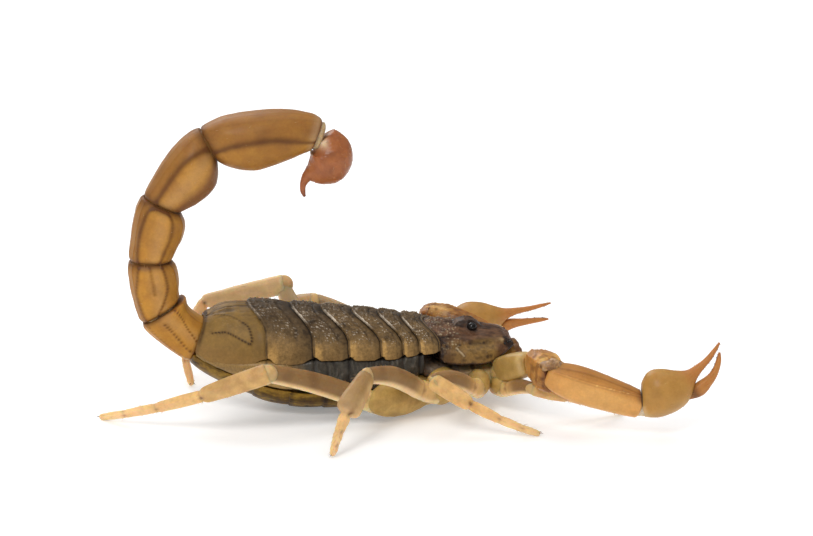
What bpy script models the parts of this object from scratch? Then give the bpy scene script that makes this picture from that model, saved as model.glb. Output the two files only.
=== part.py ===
"""A desert scorpion (family Buthidae) standing with its tail raised, at life size.

The sizes below are in millimetres in the animal's own axes: X forward along the body, Y to its left,
Z up, with the floor at Z = 0. The finished model is in metres, with its origin on the floor below the
middle of its bounding box.

Two makers do most of the work. pod() reshapes a UV sphere so that its parallels lie on a list of rings,
which gives a closed body along any path. plate() bends a grid over the trunk and gives it a thickness.
"""

import math

import bmesh
import bpy
from mathutils import Vector

MM = 0.001
GAP = 0.12  # clear space between neighbouring pieces
UP = Vector((0, 0, 1))
LEFT = Vector((0, 1, 0))

# ---- the trunk: (x on the back, half width, height of the back, height of the belly) ----
TRUNK = (
    (-16.7, 2.6, 9.85, 5.3),
    (-15.3, 3.45, 10.6, 3.9),
    (-13.5, 4.2, 10.95, 2.5),
    (-11.0, 4.85, 11.0, 1.2),
    (-7.5, 5.3, 10.6, 0.4),
    (-3.0, 5.5, 10.05, 0.3),
    (1.5, 5.3, 9.45, 0.9),
    (4.0, 5.0, 9.0, 2.2),
    (6.4, 4.7, 8.65, 3.1),
)
TAIL_END_LEAN = (-12.0, 0.33)  # behind this x the cross-sections lean back, by this slope at the tail
TRUNK_POWER = 2.25  # 2 is an ellipse, more is squarer
PLATE_THICKNESS = 0.45
PLATE_LIFT = 0.22  # how far each plate's rear edge stands over the next plate
# Margins between the back plates from the head to the tail: (x on the back, how far forward it is at the sides)
TERGITE_MARGINS = (
    (5.15, 1.35),
    (3.1, 1.4),
    (0.8, 2.05),
    (-1.8, 2.45),
    (-4.9, 2.35),
    (-7.95, 1.9),
    (-12.3, 1.6),
    (-16.6, 0.0),
)
SWEEP_END = math.radians(58)  # a margin sweeps forward from the back's midline down to this angle
# How far a plate reaches down from the midline: (x on the back, degrees)
TERGITE_SPREAD = (
    (-16.7, 112),
    (-15.5, 110),
    (-14.0, 101),
    (-11.1, 90),
    (-8.0, 86),
    (-6.0, 81),
    (-4.0, 79),
    (5.5, 78),
)
STERNITE_MARGINS = (0.9, -1.6, -5.0, -8.4, -12.0, -16.6)
STERNITE_START = math.radians(118)
PLEURA_BULGE = (math.radians(9), math.radians(114))  # the bare skin: from this far below the back plates to there

# ---- the head shield: (x, half width, height of its top, height of its rim) ----
CARAPACE = (
    (5.0, 4.55, 8.8, 5.7),
    (7.6, 4.65, 8.7, 5.1),
    (9.4, 4.45, 8.45, 4.95),
    (11.2, 4.0, 8.3, 4.85),
    (12.2, 3.6, 8.05, 5.1),
    (13.1, 3.1, 7.6, 5.55),
    (13.8, 2.6, 7.05, 5.95),
    (14.2, 2.2, 6.65, 6.2),
)
TUBERCLE = Vector((9.8, 0.0, 8.45))
TUBERCLE_SIZE = (1.3, 0.7, 0.45)  # half length, half width, rise
EYE_OFFSET = Vector((0.4, 0.78, -0.22))
EYE_RADIUS = 0.42

# ---- under the head: the body, the breastbone, the genital plate and the combs ----
PROSOMA_XS = (5.0, 7.0, 9.2, 11.0, 12.2)
PROSOMA_LOW = 3.1
PROSOMA_INSET = 0.7
STERNUM = (8.6, 7.2, 1.95, 0.55, 1.0)  # front x, rear x, height of the axis, half width, half height
GENITAL_PLATE = (6.6, 5.0, 1.75, 1.1, 0.75)
PECTEN = (Vector((4.6, 0.8, 1.1)), Vector((0.2, 4.6, 0.95)))  # the left comb's axis
PECTEN_STAGES = ((0, 0.5), (0.2, 0.85), (0.5, 0.9), (0.8, 0.75), (1, 0.35))  # (share, half width)
PECTEN_HALF_THICKNESS = 0.27

# ---- the jaws: (x, height of the axis, reach) ----
CHELICERA_Y = 0.95
CHELICERA = ((12.7, 4.75, 0.5), (13.3, 4.8, 0.75), (14.2, 5.1, 0.85), (14.8, 5.3, 0.75), (15.25, 5.2, 0.35))

# ---- the tail: joints on the midline (x, z), the trunk's end first ----
TAIL_JOINTS = ((-17.25, 7.6), (-21.0, 10.4), (-21.75, 15.7), (-20.5, 21.4), (-15.7, 27.1), (-5.25, 27.85))
# Along each segment: (share of its length, reach towards the inside of the curl, reach towards the outside)
TAIL_SEGMENTS = (
    ((0, 1.95, 2.3), (0.12, 1.8, 2.55), (0.35, 1.8, 2.6), (0.6, 2.0, 2.5), (0.85, 2.55, 2.3), (1, 2.55, 2.0)),
    ((0, 1.8, 1.9), (0.1, 2.1, 2.15), (0.3, 2.2, 2.35), (0.55, 2.4, 2.45), (0.85, 2.35, 2.4), (1, 1.95, 2.1)),
    ((0, 1.85, 2.05), (0.08, 2.05, 2.25), (0.3, 2.3, 2.35), (0.5, 2.6, 2.45), (0.8, 2.6, 2.4), (1, 1.95, 2.05)),
    (
        (0, 1.8, 1.95),
        (0.08, 2.05, 2.1),
        (0.28, 2.6, 2.4),
        (0.5, 2.9, 2.62),
        (0.72, 2.85, 2.62),
        (0.88, 2.3, 2.35),
        (1, 1.5, 1.95),
    ),
    (
        (0, 1.55, 1.9),
        (0.06, 1.95, 2.2),
        (0.2, 2.48, 2.75),
        (0.42, 2.7, 3.0),
        (0.68, 2.18, 2.9),
        (0.9, 1.55, 2.25),
        (1, 1.3, 1.6),
    ),
)
TAIL_POWER = 2.5
TAIL_WIDTH = 1.02  # a segment is this wide for its height
VESICLE_PATH = (Vector((-4.55, 0, 27.7)), Vector((-2.9, 0, 25.3)), Vector((-5.9, 0, 24.0)))
ACULEUS_PATH = (Vector((-6.1, 0, 23.95)), Vector((-7.0, 0, 22.9)), Vector((-6.45, 0, 21.75)))

# Along the venom bulb and the sting: (share of the path, reach outside the curl, reach inside, half width)
VESICLE_STAGES = (
    (0.0, 1.3, 1.2, 1.2),
    (0.12, 1.8, 1.55, 1.5),
    (0.3, 2.2, 1.85, 1.85),
    (0.5, 2.35, 2.0, 2.0),
    (0.72, 2.15, 1.85, 1.85),
    (0.88, 1.55, 1.4, 1.35),
    (1.0, 0.9, 0.8, 0.8),
)
ACULEUS_STAGES = (
    (0.0, 0.7, 0.6, 0.62),
    (0.2, 0.5, 0.42, 0.46),
    (0.5, 0.32, 0.3, 0.31),
    (0.8, 0.25, 0.25, 0.25),
    (1.0, 0.12, 0.12, 0.12),
)

# ---- the legs: coxa at the breastbone, hip, knee, a guide for the bow of the shin, and the foot ----
LEGS = {
    "right_1": ((12.2, -1.2, 1.7), (12.9, -4.6, 2.6), (15.3, -8.5, 3.8), (20.0, -8.6, 2.6), (24.6, -6.2, 0.2)),
    "right_2": ((10.6, -1.3, 1.7), (10.4, -5.4, 3.0), (5.2, -10.2, 5.5), (10.2, -12.7, 2.3), (15.5, -11.6, 0.2)),
    "right_3": ((9.1, -1.3, 1.7), (5.6, -5.7, 2.8), (-1.4, -11.4, 6.6), (-4.1, -15.8, 4.8), (-5.1, -15.6, 0.2)),
    "right_4": ((7.5, -1.4, 1.6), (0.8, -6.3, 1.9), (-10.9, -10.4, 6.9), (-19.8, -8.8, 3.1), (-27.2, -2.2, 0.2)),
    "left_1": ((12.2, 1.2, 1.7), (13.0, 4.5, 2.2), (12.8, 8.8, 2.9), (14.4, 13.4, 3.4), (12.0, 13.2, 0.2)),
    "left_2": ((10.6, 1.3, 1.7), (10.4, 5.2, 2.2), (4.0, 10.2, 3.2), (2.2, 16.2, 4.4), (4.0, 16.0, 0.2)),
    "left_3": ((9.1, 1.3, 1.7), (4.8, 5.7, 2.2), (-4.9, 10.0, 7.9), (-9.6, 16.6, 5.0), (-9.0, 16.8, 0.2)),
    "left_4": ((7.5, 1.4, 1.6), (-2.0, 7.4, 2.6), (-8.1, 9.2, 10.1), (-21.0, 15.0, 8.8), (-17.9, 7.0, 0.2)),
}
LEG_SHAPES = {  # thickness, half heights at the patella's two ends, arch of the femur as a share of its length
    "1": (0.75, 1.0, 0.85, 0.06),
    "2": (0.88, 0.95, 0.9, 0.08),
    "3": (1.0, 0.95, 1.35, 0.08),
    "4": (1.04, 1.0, 0.83, 0.03),
}
TROCHANTER_SHARE = 0.2  # of the way from hip to knee
SHIN_SHARES = (0.37, 0.62, 0.83)  # where patella, tibia and basitarsus end, along the bow
OTHER_SHIN_SHARES = {"right_3": (0.54, 0.74, 0.88), "left_4": (0.48, 0.68, 0.86)}
# Half heights at both ends of each segment: coxa, trochanter and femur, then the three beyond the patella
UPPER_LEG = ((0.9, 1.2), (1.05, 1.0), (1.0, 0.85))
LOWER_LEG = ((0.6, 0.54), (0.47, 0.43), (0.4, 0.35))
LIMB_POWER = 2.25
UPPER_LEG_WIDTH = 0.66  # of its height
LOWER_LEG_WIDTH = 0.78

# ---- the pincer arms: coxa, trochanter end, elbow, wrist, then the curves of the two fingers ----
ARMS = {
    "right": {
        "coxa": (12.7, -3.2, 4.15),
        "shoulder": (15.0, -6.4, 5.7),
        "elbow": (16.8, -11.6, 6.1),
        "wrist": (25.3, -12.6, 3.15),
        "hand_bend": (29.5, -12.9, 4.9),
        "fixed_tip": (33.0, -12.0, 9.1),
        "finger_root": (30.4, -12.9, 4.35),
        "finger_bend": (32.75, -12.9, 5.7),
        "finger_tip": (32.95, -12.3, 8.2),
    },
    "left": {
        "coxa": (12.7, 3.2, 4.2),
        "shoulder": (13.6, 6.2, 5.2),
        "elbow": (6.9, 9.3, 6.05),
        "wrist": (10.0, 16.5, 2.8),
        "hand_bend": (15.2, 17.4, 2.9),
        "fixed_tip": (21.1, 17.1, 4.8),
        "finger_root": (15.3, 17.4, 1.35),
        "finger_bend": (17.9, 17.5, 2.3),
        "finger_tip": (20.9, 17.2, 2.95),
    },
}

# Along the arm's three segments: (share of the length, half height)
ARM_STAGES = {
    "trochanter": ((0, 1.15), (0.3, 1.35), (0.75, 1.3), (1, 0.95)),
    "femur": ((0, 1.0), (0.2, 1.4), (0.7, 1.85), (1, 1.55)),
    "patella": ((0, 1.05), (0.12, 1.5), (0.35, 1.8), (0.8, 1.55), (1, 1.3)),
}
ARM_WIDTHS = {"trochanter": 0.9, "femur": 0.8, "patella": 0.9}  # of the heights

# Along the hand and the movable finger: (share of the path, reach above, reach below, half width)
HAND_STAGES = (
    (0.0, 1.0, 1.2, 1.1),
    (0.06, 1.45, 1.5, 1.5),
    (0.13, 2.25, 1.7, 1.85),
    (0.2, 2.85, 1.75, 2.0),
    (0.28, 3.0, 1.7, 1.95),
    (0.38, 2.45, 1.5, 1.65),
    (0.48, 1.6, 1.05, 1.15),
    (0.58, 0.9, 0.6, 0.65),
    (0.68, 0.52, 0.36, 0.42),
    (0.8, 0.34, 0.28, 0.3),
    (0.92, 0.22, 0.2, 0.2),
    (1.0, 0.1, 0.1, 0.1),
)
HAND_BULGES = {"right": 1.0, "left": 0.83}  # how high each hand's back bulges
FINGER_STAGES = (
    (0.0, 0.6, 0.7, 0.65),
    (0.15, 0.62, 0.68, 0.62),
    (0.35, 0.44, 0.48, 0.45),
    (0.6, 0.34, 0.36, 0.34),
    (0.85, 0.24, 0.25, 0.24),
    (1.0, 0.1, 0.1, 0.1),
)

COLOURS = {  # red, green, blue, roughness
    "back": (0.115, 0.078, 0.042, 0.5),
    "belly": (0.29, 0.2, 0.085, 0.5),
    "pleura": (0.05, 0.047, 0.048, 0.6),
    "tail": (0.39, 0.19, 0.05, 0.42),
    "venom": (0.42, 0.13, 0.04, 0.38),
    "leg": (0.55, 0.36, 0.16, 0.45),
    "arm": (0.47, 0.24, 0.08, 0.42),
    "eye": (0.01, 0.009, 0.008, 0.12),
}


# ---------------------------------------------------------------- small tools


def empty_scene():
    for obj in list(bpy.data.objects):
        bpy.data.objects.remove(obj, do_unlink=True)


def collection(name):
    made = bpy.data.collections.new(name)
    bpy.context.scene.collection.children.link(made)
    return made


def material(name):
    """The Principled material of that name, made on its first use."""
    found = bpy.data.materials.get(name)
    if found:
        return found
    made = bpy.data.materials.new(name)
    made.use_nodes = True
    red, green, blue, roughness = COLOURS[name]
    shader = made.node_tree.nodes["Principled BSDF"]
    shader.inputs["Base Color"].default_value = (red, green, blue, 1)
    shader.inputs["Roughness"].default_value = roughness
    made.diffuse_color = (red, green, blue, 1)
    return made


def flow(x, table):
    """The table's row at x, on a smooth curve through its rows, which start with their own x."""
    rows = sorted(table)
    x = min(max(x, rows[0][0]), rows[-1][0])
    k = max(i for i in range(len(rows) - 1) if rows[i][0] <= x)
    before, a, b, after = rows[max(k - 1, 0)], rows[k], rows[k + 1], rows[min(k + 2, len(rows) - 1)]
    span = b[0] - a[0]
    t = (x - a[0]) / span
    values = []
    for column in range(1, len(a)):
        start = (b[column] - before[column]) / (b[0] - before[0]) * span
        end = (after[column] - a[column]) / (after[0] - a[0]) * span
        values.append(
            a[column] * (2 * t**3 - 3 * t**2 + 1)
            + start * (t**3 - 2 * t**2 + t)
            + b[column] * (3 * t**2 - 2 * t**3)
            + end * (t**3 - t**2)
        )
    return values


def bent(path, t):
    """The point at t on the quadratic curve from path[0] to path[2] that leans towards path[1]."""
    start, guide, end = path
    return start * (1 - t) ** 2 + guide * 2 * t * (1 - t) + end * t**2


def rounded(angle, power):
    """(cosine, sine) of a superellipse: an ellipse at power 2, squarer above it."""
    c, s = math.cos(angle), math.sin(angle)
    return math.copysign(abs(c) ** (2 / power), c), math.copysign(abs(s) ** (2 / power), s)


def ring(centre, side, up, half_width, top, bottom, power=2.0):
    """A closed curve as a function of the angle, counted from the side axis towards the up axis."""

    def point(angle):
        c, s = rounded(angle, power)
        return centre + side * (half_width * c) + up * ((top if s > 0 else bottom) * s)

    return point


def facing(direction, reference=UP):
    """(side, up) square to a direction, with up as near to the reference as it can be."""
    side = direction.cross(reference).normalized()
    return side, side.cross(direction).normalized()


def add(name, bm, slot, parts):
    """The bmesh as an object of the part, smooth where its faces meet at a shallow angle."""
    bm.normal_update()
    bmesh.ops.recalc_face_normals(bm, faces=bm.faces)
    mesh = bpy.data.meshes.new(name)
    bm.to_mesh(mesh)
    bm.free()
    mesh.transform(((MM, 0, 0, 0), (0, MM, 0, 0), (0, 0, MM, 0), (0, 0, 0, 1)))
    mesh.shade_smooth()
    mesh.set_sharp_from_angle(angle=math.radians(50))
    mesh.materials.append(material(slot))
    obj = bpy.data.objects.new(name, mesh)
    parts.objects.link(obj)
    return obj


def pod(name, rings, slot, parts, around=12, ends=None, limits=(), floor=None):
    """A closed body: a UV sphere with its parallels moved onto the rings and its poles onto the two ends.

    limits are planes (point, normal) that no vertex may pass, and floor is the lowest Z that it may have.
    """
    bm = bmesh.new()
    steps = len(rings) + 1
    bmesh.ops.create_uvsphere(bm, u_segments=around, v_segments=steps, radius=1)
    first, last = ends or (middle(rings[0]), middle(rings[-1]))
    for vertex in bm.verts:
        step = round(math.acos(max(-1, min(1, vertex.co.z))) / math.pi * steps)
        if step == 0:
            vertex.co = first
        elif step == steps:
            vertex.co = last
        else:
            vertex.co = rings[step - 1](math.atan2(vertex.co.y, vertex.co.x))
        for point, normal in limits:
            vertex.co -= normal * max(0.0, (vertex.co - point).dot(normal))
        if floor is not None:
            vertex.co.z = max(vertex.co.z, floor)
    return add(name, bm, slot, parts)


def middle(curve):
    return (curve(0) + curve(math.pi)) / 2


# ---------------------------------------------------------------- head and trunk


def on_trunk(x, angle, inset=0.0):
    """A point of the trunk's surface: the angle runs from the back's midline down the right side."""
    half_width, back, belly = flow(x, TRUNK)
    c, s = rounded(angle, TRUNK_POWER)
    z = (back + belly) / 2 + ((back - belly) / 2 - inset) * c
    start, slope = TAIL_END_LEAN
    lean = slope * (max(0.0, start - x) / (start - TRUNK[0][0])) ** 2
    return Vector((x - lean * (back - z), -(half_width - inset) * s, z))


def swept(angle):
    """How far forward a plate's margin has swept at this angle: 0 on the back's midline and 1 at the side."""
    t = min(abs(angle) / SWEEP_END, 1)
    return t * t * (3 - 2 * t)


def spread(x):
    """The angle from the back's midline down to the lower edge of the plates at x."""
    return math.radians(flow(x, TERGITE_SPREAD)[0])


def plate(name, surface, slot, parts, across, along):
    """A bent sheet of PLATE_THICKNESS, whose outer face is surface(across, along), both from 0 to 1."""
    bm = bmesh.new()
    bmesh.ops.create_grid(bm, x_segments=across, y_segments=along, size=0.5)
    for vertex in bm.verts:
        vertex.co = surface(vertex.co.x + 0.5, vertex.co.y + 0.5)
    obj = add(name, bm, slot, parts)
    # recalculated normals of an open sheet may face either way, so the sheet is turned to face outward
    if outward_share(obj.data) < 0:
        obj.data.flip_normals()
    shell = obj.modifiers.new("thickness", "SOLIDIFY")
    shell.thickness = PLATE_THICKNESS * MM
    shell.offset = -1
    shell.use_even_offset = True
    return obj


def outward_share(mesh):
    """Above 0 where the faces look away from the trunk's axis."""
    total = 0.0
    for face in mesh.polygons:
        _, back, belly = flow(face.center.x / MM, TRUNK)
        axis = Vector((face.center.x, 0, (back + belly) / 2 * MM))
        total += face.normal.dot((face.center - axis).normalized()) * face.area
    return total


def tergites(parts):
    for k in range(len(TERGITE_MARGINS) - 1):
        (front, front_bow), (rear, rear_bow) = TERGITE_MARGINS[k], TERGITE_MARGINS[k + 1]

        def surface(across, along, front=front, front_bow=front_bow, rear=rear, rear_bow=rear_bow):
            at_side = front + front_bow + (rear + rear_bow - front - front_bow) * along
            angle = (2 * across - 1) * spread(at_side)
            bow = swept(angle)
            start = front + front_bow * bow - GAP / 2
            end = rear + rear_bow * bow + GAP / 2
            lift = PLATE_LIFT * along - 0.02
            return on_trunk(start + (end - start) * along, angle, -lift)

        plate(f"tergite_{k + 1}", surface, "back", parts, across=10, along=3)


def sternites(parts):
    for k in range(len(STERNITE_MARGINS) - 1):
        front, rear = STERNITE_MARGINS[k] - GAP / 2, STERNITE_MARGINS[k + 1] + GAP / 2

        def surface(across, along, front=front, rear=rear):
            angle = STERNITE_START + across * (2 * math.pi - 2 * STERNITE_START)
            return on_trunk(front + (rear - front) * along, angle, -0.1 * along)

        plate(f"sternite_{k + 3}", surface, "belly", parts, across=8, along=2)


def pleura(parts):
    """The soft body under the plates, which bulges out between them along both flanks."""
    hidden = PLATE_THICKNESS + GAP
    below, low = PLEURA_BULGE

    def curve(x):
        def point(angle):
            from_back = math.pi / 2 - angle
            down = abs(math.atan2(math.sin(from_back), math.cos(from_back)))
            bare = spread(x) + below < down < low
            return on_trunk(x, from_back, 0.1 if bare else hidden)

        return point

    count = 12
    front, rear = 4.8, -16.5
    rings = [curve(front + (rear - front) * i / (count - 1)) for i in range(count)]
    base, crease = tail_joint(0)
    pod("pleura", rings, "pleura", parts, around=28, limits=((base - crease * GAP / 2, crease),))


def carapace(parts, cutters):
    def curve(x):
        half_width, top, rim = flow(x, CARAPACE)
        section = ring(Vector((x, 0, rim + 0.3)), -LEFT, UP, half_width, top - rim - 0.3, 0.3, 2.3)
        sweep = TERGITE_MARGINS[0][1] * max(0.0, 1 - (x - xs[0]) / 3) ** 2

        def point(angle):
            at = section(angle)
            at.x += sweep * swept(math.asin(max(-1, min(1, at.y / half_width))))
            return at

        return point

    xs = (5.27, 5.9, 6.9, 7.9, 8.8, 9.5, 10.2, 11.0, 11.9, 12.7, 13.4, 13.9, 14.2)
    shield = pod("carapace", [curve(x) for x in xs], "back", parts, around=20)
    for vertex in shield.data.vertices:
        if vertex.co.z / MM < 7:
            continue
        long, wide, rise = TUBERCLE_SIZE
        away = ((vertex.co.x / MM - TUBERCLE.x) / long) ** 2 + (vertex.co.y / MM / wide) ** 2
        vertex.co.z += rise * MM * math.exp(-away)
    for side, hand in (("left", 1), ("right", -1)):
        centre = TUBERCLE + Vector((EYE_OFFSET.x, EYE_OFFSET.y * hand, EYE_OFFSET.z))
        eye(f"eye_median_{side}", centre, EYE_RADIUS, parts)
        socket = eye(f"socket_{side}", centre, EYE_RADIUS + GAP, cutters)
        socket.hide_render = True
        socket.display_type = "WIRE"
        cut = shield.modifiers.new(f"socket {side}", "BOOLEAN")
        cut.operation = "DIFFERENCE"
        cut.object = socket


def eye(name, centre, radius, parts):
    bm = bmesh.new()
    bmesh.ops.create_uvsphere(bm, u_segments=10, v_segments=6, radius=radius)
    bmesh.ops.translate(bm, verts=bm.verts, vec=centre)
    return add(name, bm, "eye", parts)


def prosoma(parts):
    """The flesh between the head shield and the leg bases, with the breastbone and the genital plate."""
    rings = []
    for x in PROSOMA_XS:
        half_width, _, rim = flow(x, CARAPACE)
        middle_z = (rim - GAP + PROSOMA_LOW) / 2
        half_height = rim - GAP - middle_z
        half_width -= PROSOMA_INSET
        rings.append(ring(Vector((x, 0, middle_z)), -LEFT, UP, half_width, half_height, half_height, 2.4))
    pod("prosoma", rings, "belly", parts, around=14)
    for name, sizes in (("sternum", STERNUM), ("genital_plate", GENITAL_PLATE)):
        front, rear, z, half_width, half_height = sizes
        rings = []
        for x in (front, (front + rear) / 2, rear):
            rings.append(ring(Vector((x, 0, z)), -LEFT, UP, half_width, half_height, half_height, 2.8))
        pod(name, rings, "belly", parts, around=10)


def pectines(parts):
    for side, hand in (("left", 1), ("right", -1)):
        start, end = (Vector((p.x, p.y * hand, p.z)) for p in PECTEN)
        across, up = facing((end - start).normalized())
        rings = []
        for share, reach in PECTEN_STAGES:
            centre = start.lerp(end, share)
            rings.append(ring(centre, across, up, reach, PECTEN_HALF_THICKNESS, PECTEN_HALF_THICKNESS, 2.4))
        pod(f"pecten_{side}", rings, "belly", parts, around=10)


def chelicerae(parts):
    for side, hand in (("left", 1), ("right", -1)):
        rings = []
        for x, z, reach in CHELICERA:
            rings.append(ring(Vector((x, CHELICERA_Y * hand, z)), -LEFT, UP, reach, reach, reach))
        pod(f"chelicera_{side}", rings, "arm", parts, around=10)


# ---------------------------------------------------------------- tail


def tail_joint(k):
    """(centre, crease direction) of the joint before segment k, whose plane halves the bend there."""
    joints = [Vector((x, 0, z)) for x, z in TAIL_JOINTS]
    before = (joints[k] - joints[k - 1]).normalized() if k else Vector((-1, 0, 0))
    after = ((joints + [VESICLE_PATH[1]])[k + 1] - joints[k]).normalized()
    return joints[k], (before + after).normalized()


def tail(parts):
    for k, stages in enumerate(TAIL_SEGMENTS):
        (start, first), (end, last) = tail_joint(k), tail_joint(k + 1)
        way = (end - start).normalized()
        inward = Vector((way.z, 0, -way.x))
        near_lean, far_lean = (-inward.dot(crease) / way.dot(crease) for crease in (first, last))
        rings = []
        for share, inner, outer in stages:
            # the sections lean towards the plane of the nearer joint
            up = inward + way * (near_lean * (1 - share) ** 3 + far_lean * share**3)
            half_width = TAIL_WIDTH * (inner + outer) / 2
            rings.append(ring(start.lerp(end, share), LEFT, up, half_width, inner, outer, TAIL_POWER))
        limits = ((start + first * GAP / 2, -first), (end - last * GAP / 2, last))
        pod(f"metasoma_{k + 1}", rings, "tail", parts, around=14, limits=limits)


def telson(parts):
    tip, way = tail_joint(len(TAIL_SEGMENTS))
    neck = VESICLE_PATH[2]
    crease = (VESICLE_PATH[2] - VESICLE_PATH[1] + ACULEUS_PATH[1] - ACULEUS_PATH[0]).normalized()
    limits = ((tip + way * GAP / 2, -way), (neck, crease))
    pod("telson_vesicle", along_curve(VESICLE_PATH, VESICLE_STAGES), "venom", parts, limits=limits)
    limits = ((neck + crease * GAP, -crease),)
    pod("telson_aculeus", along_curve(ACULEUS_PATH, ACULEUS_STAGES), "venom", parts, around=8, limits=limits)


def along_curve(path, stages):
    """Rings at the stages (share of the path, reach above, reach below, half width) of a quadratic path."""
    rings = []
    for share, above, below, half_width in stages:
        way = (bent(path, share + 0.01) - bent(path, share - 0.01)).normalized()
        side, up = facing(way, -LEFT.cross(way))
        rings.append(ring(bent(path, share), side, up, half_width, above, below, 2.1))
    return rings


# ---------------------------------------------------------------- limbs


def jointed(joints, reaches, hinge, width, bow=0.0):
    """Rings along a chain of segments: a neck at each joint and full rings between.

    All the joints hinge about one axis, the thin way through the limb. The last segment arches by the bow.
    """
    ways = [(b - a).normalized() for a, b in zip(joints, joints[1:])]
    rings = []
    for k, (near, far) in enumerate(reaches):
        way = ways[k]
        turn = (ways[k - 1] + way).normalized() if k else way
        neck = min(near, reaches[k - 1][1] if k else near) * 0.78
        rings.append(limb_ring(joints[k], turn, hinge, neck, width))
        arch = UP * bow * (joints[k + 1] - joints[k]).length if k == len(ways) - 1 else UP * 0
        for share, reach in ((0.2, near), (0.5, (near + far) / 2), (0.78, far)):
            here = joints[k].lerp(joints[k + 1], share) + arch * math.sin(math.pi * share)
            if bow or share != 0.5:
                rings.append(limb_ring(here, way, hinge, reach, width))
    rings.append(limb_ring(joints[-1], ways[-1], hinge, reaches[-1][1] * 0.85, width))
    return rings


def limb_ring(centre, way, hinge, reach, width):
    """A ring square to the way, whose size along the hinge axis is the width times its height."""
    up = hinge.cross(way).normalized()
    return ring(centre, way.cross(up), up, reach * width, reach, reach, LIMB_POWER)


def shin_joints(knee, guide, foot, shares):
    path = (knee, guide, foot)
    fine = [bent(path, i / 60) for i in range(61)]
    lengths = [0.0]
    for a, b in zip(fine, fine[1:]):
        lengths.append(lengths[-1] + (b - a).length)
    joints = [knee]
    for share in shares:
        joints.append(fine[min(range(61), key=lambda i: abs(lengths[i] - share * lengths[-1]))])
    return joints + [foot]


def legs(parts):
    for name, points in LEGS.items():
        coxa, hip, knee, guide, foot = (Vector(p) for p in points)
        size, patella_near, patella_far, femur_bow = LEG_SHAPES[name[-1]]
        turn_point = hip.lerp(knee, TROCHANTER_SHARE)
        hinge = (knee - hip).cross(UP).normalized()
        shins = shin_joints(knee, guide, foot, OTHER_SHIN_SHARES.get(name, SHIN_SHARES))
        crease = ((knee - turn_point).normalized() + (shins[1] - knee).normalized()).normalized()
        # a sharp knee has no common plane across it, so both sides meet on the plane that halves its angle
        upper = jointed(
            (coxa, hip, turn_point, knee),
            [(near * size, far * size) for near, far in UPPER_LEG],
            hinge,
            UPPER_LEG_WIDTH,
            femur_bow,
        )
        limits = ((knee - crease * GAP / 2, crease),)
        pod(f"leg_{name}_upper", upper, "leg", parts, around=8, limits=limits)
        shin_reaches = [(near * size, far * size) for near, far in ((patella_near, patella_far), *LOWER_LEG)]
        lower = jointed(shins, shin_reaches, hinge, LOWER_LEG_WIDTH)
        limits = ((knee + crease * GAP / 2, -crease),)
        pod(f"leg_{name}_lower", lower, "leg", parts, around=8, limits=limits, floor=0.0)


def arms(parts):
    for side, points in ARMS.items():
        p = {key: Vector(value) for key, value in points.items()}
        name = f"pedipalp_{side}"
        chain = (
            ("trochanter", p["coxa"], p["shoulder"]),
            ("femur", p["shoulder"], p["elbow"]),
            ("patella", p["elbow"], p["wrist"]),
        )
        ways = [(end - start).normalized() for _, start, end in chain]
        ways.append((p["hand_bend"] - p["wrist"]).normalized())
        creases = [(a + b).normalized() for a, b in zip(ways, ways[1:])]
        for k, (segment, start, end) in enumerate(chain):
            hinge = ways[k].cross(UP)
            width = ARM_WIDTHS[segment]
            stages = ARM_STAGES[segment]
            rings = [limb_ring(start.lerp(end, share), ways[k], hinge, reach, width) for share, reach in stages]
            limits = [(end - creases[k] * GAP / 2, creases[k])]
            if k:
                limits.append((start + creases[k - 1] * GAP / 2, -creases[k - 1]))
            pod(f"{name}_{segment}", rings, "arm", parts, around=12, limits=limits)
        hand(name, p, creases[-1], HAND_BULGES[side], parts)


def hand(name, p, crease, bulge, parts):
    """The bulb with its fixed finger in one piece, and the movable finger below it."""
    path = (p["wrist"], p["hand_bend"], p["fixed_tip"])
    limits = ((p["wrist"] + crease * GAP / 2, -crease),)
    stages = [(share, above * bulge, below, half_width) for share, above, below, half_width in HAND_STAGES]
    pod(f"{name}_hand", along_curve(path, stages), "arm", parts, around=12, limits=limits)
    path = (p["finger_root"], p["finger_bend"], p["finger_tip"])
    pod(f"{name}_finger", along_curve(path, FINGER_STAGES), "arm", parts, around=8)


# ---------------------------------------------------------------- assembly


def centre_on_floor(parts):
    """Moves the model so that its origin is on the floor below the middle of its bounding box."""
    bpy.context.view_layer.update()
    graph = bpy.context.evaluated_depsgraph_get()
    corners = []
    for obj in parts.objects:
        evaluated = obj.evaluated_get(graph)
        corners += [evaluated.matrix_world @ Vector(corner) for corner in evaluated.bound_box]
    shift = Vector(-(min(c[axis] for c in corners) + max(c[axis] for c in corners)) / 2 for axis in (0, 1))
    for obj in bpy.data.objects:
        obj.location.x += shift.x
        obj.location.y += shift.y


def main():
    empty_scene()
    parts = collection("desert_scorpion")
    cutters = collection("cutters")
    cutters.hide_render = True
    carapace(parts, cutters)
    prosoma(parts)
    chelicerae(parts)
    pleura(parts)
    tergites(parts)
    sternites(parts)
    pectines(parts)
    tail(parts)
    telson(parts)
    legs(parts)
    arms(parts)
    centre_on_floor(parts)


main()
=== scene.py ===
"""The finish of a desert scorpion (family Buthidae) that stands with its tail raised.

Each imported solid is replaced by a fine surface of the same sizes, with its keels, grains, wrinkles, joint
membranes, teeth and bristles. Sizes are in millimetres in the animal's own axes: X forward along the body,
Y to its left, Z up, with the floor at 0. A surface is an array of rings: the first axis runs along the
piece, the second goes round it, and the third holds x, y and z.
"""

import itertools
import math

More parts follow.
